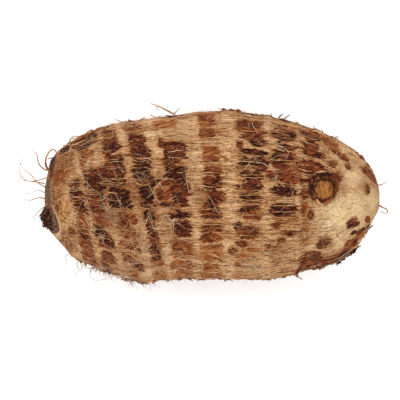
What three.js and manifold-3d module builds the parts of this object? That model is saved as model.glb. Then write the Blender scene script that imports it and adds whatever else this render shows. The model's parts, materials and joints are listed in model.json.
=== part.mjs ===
// A large taro corm lying on its side, as lifted from the ground and brushed off.
// Millimetres. +X runs from the cut crown to the old base end, +Z is up, and the
// origin is the middle of the small flat spot that the corm rests on.
import * as THREE from 'three';
import { mergeVertices } from 'three/addons/utils/BufferGeometryUtils.js';
import Module from 'manifold-3d';

// Driving dimensions: the widest ring is at x = 0, and the four quarters of the
// outline seen from above are superellipses that meet there.
const CROWN_REACH = 100.2;
const BASE_REACH = 104.7;
const UPPER_HEIGHT = 51.4;
const LOWER_HEIGHT = 49.8;
const DEPTH_SHARE = 0.97;
const AXIS_HEIGHT = 47.8;

const OUTLINE = {
  crownUpper: { reach: CROWN_REACH, height: UPPER_HEIGHT, lengthwise: 2.3, across: 2.2 },
  crownLower: { reach: CROWN_REACH, height: LOWER_HEIGHT, lengthwise: 3.0, across: 2.0 },
  baseUpper: { reach: BASE_REACH, height: UPPER_HEIGHT, lengthwise: 2.1, across: 2.1 },
  baseLower: { reach: BASE_REACH, height: LOWER_HEIGHT, lengthwise: 3.2, across: 2.2 },
};

// The cut crown: a rounded square face that leans back as it rises. Its lower side,
// towards -Y, falls back and turns to face up.
const CUT = {
  x: -93.9,
  y: -5.0,
  halfWidth: 17.5,
  halfHeight: 18.0,
  squareness: 0.8,
  leanY: 0.03,
  leanZ: 0.14,
  fallBack: 2.5,
  twist: 0.34,
};

// The ragged stub on the cut face: its place from the middle of the face, and size.
const STUB = { y: -7.5, z: -5.0, height: 4.2, radius: 6.5 };

// The scraped facet at the base end: a plane across the lower corner.
const FACET = { normal: new THREE.Vector3(0.868, -0.496, 0), point: new THREE.Vector3(94.5, -24.3, 0) };

// The underside is worn smooth this far round from straight down, in degrees.
const WORN = { inner: 10, outer: 26 };

// Low lumps and hollows of the whole body: place, angle round from +Y, span and rise.
const LUMPS = [
  { x: -50, angle: 180, span: 15, rise: 3.3 },
  { x: -20, angle: 0, span: 22, rise: -2.2 },
  { x: 63, angle: 180, span: 16, rise: -2.4 },
];

// Leaf-scar rings: the middle and half width of each band of torn husk.
const RINGS = [
  { at: -76.8, half: 3.4 },
  { at: -64.8, half: 4.4 },
  { at: -51.6, half: 5.4 },
  { at: -34.2, half: 4.2 },
  { at: -15.0, half: 5.8 },
  { at: 4.2, half: 5.8 },
  { at: 26.6, half: 7.6 },
  { at: 46.8, half: 7.2 },
  { at: 61.0, half: 4.8 },
  { at: 74.5, half: 3.6 },
];
const RING_STEP = 0.7;
const RING_LIP = 0.55;
const HUSK_DEPTH = 1.4;
const FIBRE_RISE = 1.2;
const RING_LEAN = 0.24;

// By the cut the rings lean less on the +Y side and more on the other.
const CUT_LEAN = { from: -92, to: -76, upper: -0.7, lower: 0.8 };

// Side buds: distance along the corm, angle round it from +Y over the top, and size.
const BUDS = [
  { x: 70.0, angle: 82.5, radius: 8.6 },
  { x: 40.5, angle: 220, radius: 5.5 },
  { x: -6.0, angle: 338, radius: 5.0 },
  { x: -43.0, angle: 212, radius: 4.5 },
  { x: 66.0, angle: 305, radius: 5.0 },
];

const COLUMNS = 60;
const ROOTLET_SIDES = 3;
const ROOTLET_STEPS = 4;
const CROWN_ROOTLETS = 16;
const SKIN_ROOTLETS = 22;
const SEED = 20817;

function seededRandom(seed) {
  let state = seed;
  return () => {
    state = (state * 1664525 + 1013904223) % 4294967296;
    return state / 4294967296;
  };
}

function smoothstep(from, to, value) {
  return THREE.MathUtils.smoothstep(value, from, to);
}

// Half height of one quarter of the outline at a distance along the corm.
function quarterHeight(quarter, x) {
  const share = Math.min(1, Math.abs(x) / quarter.reach);
  return quarter.height * Math.pow(1 - Math.pow(share, quarter.lengthwise), 1 / quarter.across);
}

function upperHeight(x) {
  return quarterHeight(x < 0 ? OUTLINE.crownUpper : OUTLINE.baseUpper, x);
}

function lowerHeight(x) {
  return quarterHeight(x < 0 ? OUTLINE.crownLower : OUTLINE.baseLower, x);
}

function halfDepth(x) {
  return DEPTH_SHARE * 0.5 * (upperHeight(x) + lowerHeight(x));
}

// The rings lean towards the crown end and stand square past the middle.
function ringLean(station, alongY) {
  const byCut = 1 - smoothstep(CUT_LEAN.from, CUT_LEAN.to, station);
  const more = 1 + byCut * (alongY > 0 ? CUT_LEAN.upper : CUT_LEAN.lower);
  return RING_LEAN * (1 - smoothstep(-60, 15, station)) * more;
}

// Slow swells that keep the corm from being a turned shape, and its few lumps.
function swell(station, angle) {
  let rise = 0.5 * Math.sin(2 * angle + station / 31)
    + 0.45 * Math.sin(3 * angle - station / 23 + 1.3)
    + 0.35 * Math.sin(5 * angle + station / 14 + 0.4);
  for (const lump of LUMPS) {
    const along = Math.exp(-Math.pow((station - lump.x) / lump.span, 2));
    const round = Math.max(0, Math.cos(angle - THREE.MathUtils.degToRad(lump.angle)));
    rise += lump.rise * along * round * round;
  }
  return rise;
}

// One straight below the axis, fading to nothing at the edge of the worn strip.
function wear(angle) {
  const fromBelow = THREE.MathUtils.radToDeg(Math.acos(THREE.MathUtils.clamp(-Math.sin(angle), -1, 1)));
  return 1 - smoothstep(WORN.inner, WORN.outer, fromBelow);
}

// A point on the smooth skin, pushed out by a rise. The angle is measured from +Y
// over the top, and the station is where the point's ring crosses the axis.
function skinPoint(station, angle, rise) {
  const alongY = Math.cos(angle);
  const alongZ = Math.sin(angle);
  const guess = alongY > 0 ? upperHeight(station) : lowerHeight(station);
  const x = THREE.MathUtils.clamp(
    station - ringLean(station, alongY) * guess * alongY,
    -CROWN_REACH,
    BASE_REACH,
  );
  const height = alongY > 0 ? upperHeight(x) : lowerHeight(x);
  const reach = Math.min(1, halfDepth(x) / 20);
  const push = (rise + swell(station, angle)) * reach * (1 - wear(angle));
  const point = new THREE.Vector3(
    x,
    (height + push) * alongY,
    (halfDepth(x) + push) * alongZ,
  );
  scrapeFacet(point);
  return point;
}

// Lays what stands past the scraped facet back onto it.
function scrapeFacet(point) {
  const past = point.clone().sub(FACET.point).dot(FACET.normal);
  if (past > 0) {
    point.addScaledVector(FACET.normal, -past * 0.95);
  }
}

function squared(value) {
  return Math.sign(value) * Math.pow(Math.abs(value), CUT.squareness);
}

// A point on the cut crown face: arcs of cut leaf stalks and a ragged stub.
function cutPoint(share, angle) {
  const y = CUT.halfWidth * share * squared(Math.cos(angle));
  const z = CUT.halfHeight * share * squared(Math.sin(angle));
  const low = Math.max(0, -y) / CUT.halfWidth;
  const back = CUT.fallBack * low * low + CUT.twist * low * Math.max(0, z);
  const arcs = 0.5 * Math.cos(share * (17 + 1.2 * Math.sin(angle)));
  const away = Math.hypot(y - STUB.y, z - STUB.z) / STUB.radius;
  const stub = STUB.height * Math.exp(-away * away);
  return new THREE.Vector3(
    CUT.x - CUT.leanY * y + CUT.leanZ * z + back - arcs - stub,
    CUT.y + y,
    z,
  );
}

// Rows of points: over the cut face, along the skin with five rows to each ring
// band, and round the base end to its tip.
function bodyRows(random) {
  const rows = [];
  for (const share of [0, 0.22, 0.42, 0.62, 0.82, 1]) {
    rows.push((angle) => cutPoint(share, angle));
  }
  for (const station of [-91, -88.5, -85.5, -82]) {
    rows.push((angle) => skinPoint(station, angle, 0));
  }
  for (const ring of RINGS) {
    const bars = Array.from({ length: COLUMNS }, () => random());
    rows.push(
      (angle) => skinPoint(ring.at - ring.half - RING_STEP, angle, RING_LIP),
      (angle, column) => skinPoint(ring.at - ring.half + RING_STEP, angle, huskRise(bars, column)),
      (angle, column) => skinPoint(ring.at, angle, huskRise(bars, column)),
      (angle, column) => skinPoint(ring.at + ring.half - RING_STEP, angle, huskRise(bars, column)),
      (angle) => skinPoint(ring.at + ring.half + RING_STEP, angle, RING_LIP),
    );
  }
  for (const station of [84, 89, 93.5, 97.5, 100.5, 102.8, 104.2]) {
    rows.push((angle) => skinPoint(station, angle, 0));
  }
  rows.push(() => new THREE.Vector3(BASE_REACH, -0.5, 0));
  return rows;
}

// Husk hollows between lengthwise bars of fibre, a column at a time.
function huskRise(bars, column) {
  const bar = bars[column] > 0.68 ? FIBRE_RISE : 0;
  return -HUSK_DEPTH * (0.55 + 0.45 * bars[column]) + bar;
}

// The body: a lathe whose vertices are laid on the rows, then pressed flat underneath.
function bodyGeometry(random) {
  const rows = bodyRows(random);
  const profile = rows.map((row, index) => new THREE.Vector2(1, index));
  const geometry = new THREE.LatheGeometry(profile, COLUMNS);
  const position = geometry.getAttribute('position');
  for (let turn = 0; turn <= COLUMNS; turn += 1) {
    const column = turn % COLUMNS;
    const angle = (2 * Math.PI * column) / COLUMNS;
    rows.forEach((row, index) => {
      const point = row(angle, column);
      const z = Math.max(0, point.z + AXIS_HEIGHT);
      position.setXYZ(turn * rows.length + index, point.x, point.y, z);
    });
  }
  return geometry;
}

// A bud: a round scar with a raised rim, a ditch and a blunt dome, on a sunk foot.
function budGeometry(bud) {
  const profile = [
    [0, -1.0],
    [1.08, -0.75],
    [1.1, 0.06],
    [0.92, 0.17],
    [0.74, 0.02],
    [0.5, 0.12],
    [0.26, 0.24],
    [0, 0.27],
  ].map(([radius, height]) => new THREE.Vector2(radius * bud.radius, height * bud.radius));
  const geometry = new THREE.LatheGeometry(profile, 14);
  const angle = THREE.MathUtils.degToRad(bud.angle);
  const seat = skinPoint(bud.x, angle, 0);
  const outward = outwardAt(bud.x, angle);
  const turn = new THREE.Quaternion().setFromUnitVectors(new THREE.Vector3(0, 1, 0), outward);
  geometry.applyQuaternion(turn);
  geometry.translate(seat.x, seat.y, seat.z + AXIS_HEIGHT);
  return geometry;
}

// The skin's outward direction, from two short steps over it.
function outwardAt(station, angle) {
  const step = 1.5;
  const turn = step / Math.max(8, halfDepth(station));
  const lengthwise = skinPoint(station + step, angle, 0).sub(skinPoint(station - step, angle, 0));
  const round = skinPoint(station, angle + turn, 0).sub(skinPoint(station, angle - turn, 0));
  return round.cross(lengthwise).normalize();
}

// A rootlet: a tapered rod bent along a curve, its thick end sunk in the corm.
function rootletGeometry(curve, thickness) {
  const geometry = new THREE.CylinderGeometry(
    thickness * 0.28,
    thickness * 0.5,
    1,
    ROOTLET_SIDES,
    ROOTLET_STEPS,
  );
  const position = geometry.getAttribute('position');
  for (let index = 0; index < position.count; index += 1) {
    const along = position.getY(index) + 0.5;
    const centre = curve.getPoint(along);
    const heading = curve.getTangent(along);
    const side = new THREE.Vector3(0.21, 0.34, 0.92).cross(heading).normalize();
    const other = heading.clone().cross(side);
    centre.addScaledVector(side, position.getZ(index));
    centre.addScaledVector(other, position.getX(index));
    position.setXYZ(index, centre.x, centre.y, centre.z);
  }
  return geometry;
}

// A curve that leaves the corm, runs out and turns aside or hangs.
function rootletCurve(seat, outward, aside, length) {
  const lift = new THREE.Vector3(0, 0, AXIS_HEIGHT);
  const start = seat.clone().add(lift).addScaledVector(outward, -2.5);
  const bend = seat.clone().add(lift).addScaledVector(outward, 0.55 * length);
  const tip = bend.clone().addScaledVector(aside, 0.75 * length).addScaledVector(outward, 0.15 * length);
  tip.z = Math.max(tip.z, 3);
  return new THREE.QuadraticBezierCurve3(start, bend, tip);
}

function crownRootlets(random) {
  return Array.from({ length: CROWN_ROOTLETS }, (_, index) => {
    const angle = (2 * Math.PI * (index + 0.6 * random())) / CROWN_ROOTLETS;
    const seat = skinPoint(-92 + 5 * random(), angle, 0);
    const outward = outwardAt(-90, angle);
    const aside = new THREE.Vector3(-1, 0.9 * (random() - 0.5), 0.9 * (random() - 0.5)).normalize();
    const curve = rootletCurve(seat, outward, aside, 6 + 7 * random());
    return rootletGeometry(curve, 1.3);
  });
}

function skinRootlets(random) {
  return Array.from({ length: SKIN_ROOTLETS }, (_, index) => {
    const station = -84 + (184 * (index + random())) / SKIN_ROOTLETS;
    const angle = THREE.MathUtils.degToRad(-40 + 260 * ((index * 0.382 + 0.12 * random()) % 1));
    const seat = skinPoint(station, angle, 0);
    const outward = outwardAt(station, angle);
    const aside = new THREE.Vector3(random() - 0.5, random() - 0.5, random() - 0.5).normalize();
    const curve = rootletCurve(seat, outward, aside, 3.5 + 3 * random());
    return rootletGeometry(curve, 1.2);
  });
}

// Closed geometry to a manifold-3d solid: positions only, shared vertices merged.
function toSolid(wasm, geometry) {
  const bare = new THREE.BufferGeometry();
  bare.setAttribute('position', geometry.getAttribute('position'));
  bare.setIndex(geometry.getIndex());
  const merged = mergeVertices(bare, 1e-4);
  const index = merged.getIndex().array;
  const triangles = [];
  for (let corner = 0; corner < index.length; corner += 3) {
    const [a, b, c] = index.slice(corner, corner + 3);
    if (a !== b && b !== c && a !== c) {
      triangles.push(a, b, c);
    }
  }
  return new wasm.Manifold(new wasm.Mesh({
    numProp: 3,
    vertProperties: merged.getAttribute('position').array,
    triVerts: Uint32Array.from(triangles),
  }));
}

function toGeometry(solid) {
  const mesh = solid.getMesh();
  const geometry = new THREE.BufferGeometry();
  geometry.setAttribute('position', new THREE.BufferAttribute(mesh.vertProperties, 3));
  geometry.setIndex(new THREE.BufferAttribute(mesh.triVerts, 1));
  geometry.computeVertexNormals();
  return geometry;
}

const wasm = await Module();
wasm.setup();

const random = seededRandom(SEED);
let corm = toSolid(wasm, bodyGeometry(random));
for (const bud of BUDS) {
  corm = corm.add(toSolid(wasm, budGeometry(bud)));
}
for (const rootlet of [...crownRootlets(random), ...skinRootlets(random)]) {
  corm = corm.add(toSolid(wasm, rootlet));
}

const skinMaterial = new THREE.MeshStandardMaterial({
  color: 0xb08a5c,
  roughness: 0.85,
  metalness: 0.0,
});
const cormMesh = new THREE.Mesh(toGeometry(corm), skinMaterial);
cormMesh.name = 'corm';

const taro = new THREE.Group();
taro.add(cormMesh);

export default taro;
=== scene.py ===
import json
import math
import random

import bmesh
import bpy
import numpy as np
from mathutils import Matrix, Vector, noise

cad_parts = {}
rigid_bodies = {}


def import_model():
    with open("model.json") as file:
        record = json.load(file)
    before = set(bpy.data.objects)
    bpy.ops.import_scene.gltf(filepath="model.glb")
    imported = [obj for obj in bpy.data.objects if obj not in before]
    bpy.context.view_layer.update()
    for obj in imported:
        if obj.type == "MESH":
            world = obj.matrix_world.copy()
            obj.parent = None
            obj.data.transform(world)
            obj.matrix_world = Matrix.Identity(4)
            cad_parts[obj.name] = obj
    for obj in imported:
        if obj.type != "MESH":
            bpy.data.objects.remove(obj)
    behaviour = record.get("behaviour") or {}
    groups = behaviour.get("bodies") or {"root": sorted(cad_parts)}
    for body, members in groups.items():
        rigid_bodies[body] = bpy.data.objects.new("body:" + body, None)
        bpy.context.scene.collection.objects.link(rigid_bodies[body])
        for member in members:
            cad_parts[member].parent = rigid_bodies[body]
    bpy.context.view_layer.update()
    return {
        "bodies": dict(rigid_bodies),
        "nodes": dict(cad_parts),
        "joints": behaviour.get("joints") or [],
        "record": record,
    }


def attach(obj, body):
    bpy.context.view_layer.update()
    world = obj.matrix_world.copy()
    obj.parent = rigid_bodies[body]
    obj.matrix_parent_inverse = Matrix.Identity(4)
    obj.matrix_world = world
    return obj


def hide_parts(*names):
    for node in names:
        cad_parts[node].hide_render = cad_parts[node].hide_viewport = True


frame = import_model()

# ---------------------------------------------------------------------------
# Camera, light and floor: the corm lies on a pale table inside a light tent,
# and the camera looks straight down on it with a long lens.
# ---------------------------------------------------------------------------
VIEW_WIDTH = 0.24  # metres seen across, at the corm's mid height
VIEW_CENTRE = Vector((-0.003, -0.0018, 0.0478))
CAMERA_DISTANCE = 5.0
SENSOR = 36.0

camera_data = bpy.data.cameras.new("camera")
camera_data.sensor_width = SENSOR
camera_data.lens = SENSOR * CAMERA_DISTANCE / VIEW_WIDTH
camera = bpy.data.objects.new("camera", camera_data)
camera.location = VIEW_CENTRE + Vector((0, 0, CAMERA_DISTANCE))
bpy.context.scene.collection.objects.link(camera)
bpy.context.scene.camera = camera
bpy.context.scene.view_settings.view_transform = "Standard"


def linear(hex_colour):
    """An sRGB hex colour as linear red, green, blue and alpha."""
    shares = [int(hex_colour[i : i + 2], 16) / 255 for i in (1, 3, 5)]
    return [c / 12.92 if c <= 0.04045 else ((c + 0.055) / 1.055) ** 2.4 for c in shares] + [1.0]


def add_node(tree, kind, inputs=(), stops=(), **settings):
    """Adds a shader node. Its inputs, by place or by name, are values, nodes or sockets."""
    node = tree.nodes.new("ShaderNode" + kind)
    for name, value in settings.items():
        setattr(node, name, value)
    for place, _ in stops[2:]:
        node.color_ramp.elements.new(place)
    for element, (place, hex_colour) in zip(node.color_ramp.elements if stops else (), stops):
        element.position = place
        element.color = linear(hex_colour)
    sockets = [s for s in node.inputs if s.enabled]
    pairs = inputs.items() if isinstance(inputs, dict) else enumerate(inputs)
    for place, value in pairs:
        socket = node.inputs[place] if isinstance(place, str) else sockets[place]
        if isinstance(value, bpy.types.Node):
            value = next(s for s in value.outputs if s.enabled)
        if isinstance(value, bpy.types.NodeSocket):
            tree.links.new(value, socket)
        else:
            socket.default_value = value
    return node


def new_material(name):
    material = bpy.data.materials.new(name)
    material.use_nodes = True
    material.node_tree.nodes.clear()
    return material, material.node_tree


world = bpy.data.worlds.new("light_tent")
world.use_nodes = True
world.node_tree.nodes["Background"].inputs["Color"].default_value = linear("#FFFFFF")
world.node_tree.nodes["Background"].inputs["Strength"].default_value = 1.4
bpy.context.scene.world = world

for name, place, size, power in (
    ("overhead_softbox", (0.0, -0.45, 1.7), 1.4, 4.8),
    ("key_softbox", (-0.5, 0.5, 1.0), 0.35, 3.6),
):
    light_data = bpy.data.lights.new(name, "AREA")
    light_data.size = size
    light_data.energy = power
    light = bpy.data.objects.new(name, light_data)
    light.location = place
    light.rotation_euler = (Vector((0, 0, 0.05)) - Vector(place)).to_track_quat("-Z", "Y").to_euler()
    bpy.context.scene.collection.objects.link(light)

# White laminate, pressed smooth: its faint speckle is finer than it shows here.
laminate, tree = new_material("white_laminate")
speckle = add_node(tree, "TexNoise", {"Scale": 400.0})
shade = add_node(tree, "ValToRGB", (speckle,), stops=((0.3, "#F6F6F6"), (0.7, "#FAFAFA")))
surface = add_node(tree, "BsdfPrincipled", {"Base Color": shade, "Roughness": 0.6})
add_node(tree, "OutputMaterial", (surface,))

builder = bmesh.new()
bmesh.ops.create_grid(builder, x_segments=1, y_segments=1, size=3.0)
floor_mesh = bpy.data.meshes.new("table_top")
builder.to_mesh(floor_mesh)
builder.free()
floor_mesh.materials.append(laminate)
table_top = bpy.data.objects.new("table_top", floor_mesh)
bpy.context.scene.collection.objects.link(table_top)

# ---------------------------------------------------------------------------
# Corm skin: a swollen underground stem, one piece, with corky tan skin. Each
# ring is the scar of a leaf that wrapped round it, with torn brown husk in it.
# The body's outline is the CAD solid's, in millimetres, with finer relief.
# ---------------------------------------------------------------------------
MM = 0.001
CROWN_REACH = 100.2
BASE_REACH = 104.7
UPPER_HEIGHT = 51.4
LOWER_HEIGHT = 49.8
DEPTH_SHARE = 0.97
AXIS_HEIGHT = 47.8
OUTLINE = {
    "crown_upper": (CROWN_REACH, UPPER_HEIGHT, 2.3, 2.2),
    "crown_lower": (CROWN_REACH, LOWER_HEIGHT, 3.0, 2.0),
    "base_upper": (BASE_REACH, UPPER_HEIGHT, 2.1, 2.1),
    "base_lower": (BASE_REACH, LOWER_HEIGHT, 3.2, 2.2),
}
CUT_MIDDLE = (-93.9, -5.0)
CUT_HALF = (17.5, 18.0)
CUT_LEAN = (0.03, 0.14)
CUT_SQUARENESS = 0.8
CUT_FALL_BACK = 2.5
CUT_TWIST = 0.34
LEAN_BY_CUT = (-0.7, 0.8)
STUB = (-7.5, -5.0, 4.2, 6.5)
FACET_NORMAL = np.array((0.868, -0.496, 0.0))
FACET_POINT = np.array((94.5, -24.3, 0.0))
WORN_DEGREES = (10, 26)
RING_LEAN = 0.24
LUMPS = ((-50, 180, 15, 3.3), (-20, 0, 22, -2.2), (63, 180, 16, -2.4))
RING_LIP = 0.45
HUSK_DEPTH = 0.9
# Side buds: distance along the corm, degrees round it and radius.
BUDS = ((70, 82.5, 8.6), (40.5, 220, 5.5), (-6, 338, 5.0), (-43, 212, 4.5), (66, 305, 5.0))
BUD_SINK = 0.3  # how far the skin sinks under a bud, over its radius
BODY_RADIUS = 48  # mm, roughly, where the corm is thick

SKIN_COLUMNS = 352
CUT_ROWS = 24
LIP_SHARE = 1.4  # the lip of skin round the cut counts on from the cut's edge to this
SKIN_ROWS = 262


def smooth(low, high, value):
    share = np.clip((value - low) / (high - low), 0, 1)
    return share * share * (3 - 2 * share)


def quarter_height(x, name):
    reach, height, lengthwise, across = OUTLINE[name]
    share = np.clip(np.abs(x) / reach, 0, 1)
    return height * (1 - share**lengthwise) ** (1 / across)


def upper_height(x):
    return np.where(x < 0, quarter_height(x, "crown_upper"), quarter_height(x, "base_upper"))


def lower_height(x):
    return np.where(x < 0, quarter_height(x, "crown_lower"), quarter_height(x, "base_lower"))


def half_depth(x):
    return DEPTH_SHARE * 0.5 * (upper_height(x) + lower_height(x))


def ring_lean(station, along_y):
    """The lean of a ring, less on the +Y side of the cut and more on the other."""
    more = np.where(along_y > 0, *LEAN_BY_CUT) * (1 - smooth(-92, -76, station))
    return RING_LEAN * (1 - smooth(-60, 15, station)) * (1 + more)


def swell(station, angle):
    rise = (
        0.5 * np.sin(2 * angle + station / 31)
        + 0.45 * np.sin(3 * angle - station / 23 + 1.3)
        + 0.35 * np.sin(5 * angle + station / 14 + 0.4)
    )
    for x, turn, span, lump in LUMPS:
        along = np.exp(-(((station - x) / span) ** 2))
        rise = rise + lump * along * np.maximum(0, np.cos(angle - math.radians(turn))) ** 2
    return rise


def skin_base(station, angle):
    """The smooth skin, in mm, from the axis: angle 0 is +Y and 90 degrees is up."""
    along_y = np.cos(angle)
    along_z = np.sin(angle)
    guess = np.where(along_y > 0, upper_height(station), lower_height(station))
    x = station - ring_lean(station, along_y) * guess * along_y
    x = np.clip(x, -CROWN_REACH, BASE_REACH)
    height = np.where(along_y > 0, upper_height(x), lower_height(x))
    from_below = np.degrees(np.arccos(np.clip(-along_z, -1, 1)))
    worn = 1 - smooth(*WORN_DEGREES, from_below)
    push = swell(station, angle) * np.minimum(1, half_depth(x) / 20) * (1 - worn)
    point = np.stack((x, (height + push) * along_y, (half_depth(x) + push) * along_z), axis=-1)
    past = np.maximum(0, (point - FACET_POINT) @ FACET_NORMAL)
    return point - 0.95 * past[..., None] * FACET_NORMAL


def cut_face(share, angle):
    """The cut crown: low arcs of cut leaf stalks, and a ragged stub on its lower side."""
    y = CUT_HALF[0] * share * np.sign(np.cos(angle)) * np.abs(np.cos(angle)) ** CUT_SQUARENESS
    z = CUT_HALF[1] * share * np.sign(np.sin(angle)) * np.abs(np.sin(angle)) ** CUT_SQUARENESS
    low = np.maximum(0, -y) / CUT_HALF[0]
    back = CUT_FALL_BACK * low**2 + CUT_TWIST * low * np.maximum(0, z)
    arcs = 0.5 * np.cos(share * (17 + 1.2 * np.sin(angle)))
    stub_y, stub_z, height, radius = STUB
    stub = height * np.exp(-((y - stub_y) ** 2 + (z - stub_z) ** 2) / radius**2)
    x = CUT_MIDDLE[0] - CUT_LEAN[0] * y + CUT_LEAN[1] * z + back - arcs - stub
    return np.stack((x, CUT_MIDDLE[1] + y, z), axis=-1)


# Rows evenly spaced over the skin, and columns closer together on top.
fine_stations = np.linspace(-91, BASE_REACH, 4000)
meridian = np.stack((fine_stations, half_depth(fine_stations)), axis=-1)
steps = np.linalg.norm(np.diff(meridian, axis=0), axis=1)
arc_along = np.concatenate(((0,), np.cumsum(steps)))
row_arcs = np.linspace(0, arc_along[-1], SKIN_ROWS)
stations = np.interp(row_arcs, arc_along, fine_stations)
columns = np.arange(SKIN_COLUMNS) * 2 * math.pi / SKIN_COLUMNS
angles = columns + 0.3 * np.cos(columns)

station_grid, angle_grid = np.meshgrid(stations, angles, indexing="ij")
arc_grid = np.broadcast_to(row_arcs[:, None], angle_grid.shape)
skin_grid = skin_base(station_grid, angle_grid)
share_grid, cut_angle_grid = np.meshgrid(
    np.linspace(0, LIP_SHARE, CUT_ROWS, endpoint=False), angles, indexing="ij"
)
cut_grid = cut_face(np.minimum(share_grid, 1), cut_angle_grid)
past_edge = np.maximum(0, share_grid - 1) / (LIP_SHARE - 1)
cut_grid += past_edge[..., None] * (skin_grid[0] - cut_grid)

along_step = np.gradient(skin_grid, axis=0)
wrapped = np.concatenate((skin_grid[:, -1:], skin_grid, skin_grid[:, :1]), axis=1)
outward_grid = np.cross(wrapped[:, 2:] - wrapped[:, :-2], along_step)
outward_grid[-1] = (1, 0, 0)
outward_grid /= np.maximum(1e-9, np.linalg.norm(outward_grid, axis=-1, keepdims=True))


def angle_seen_at(x, y):
    """The angle round the corm of a place seen from above."""
    height = float(upper_height(x) if y > 0 else lower_height(x))
    return math.acos(max(-1.0, min(1.0, y / max(1.0, height))))


# Each ring: its place along the corm and the half width of its band.
RINGS = (
    (-76.8, 3.4),
    (-64.8, 4.4),
    (-51.6, 5.4),
    (-34.2, 4.2),
    (-15.0, 5.8),
    (4.2, 5.8),
    (26.6, 7.6),
    (46.8, 7.2),
    (61.0, 4.8),
    (74.5, 3.6),
)
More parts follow.
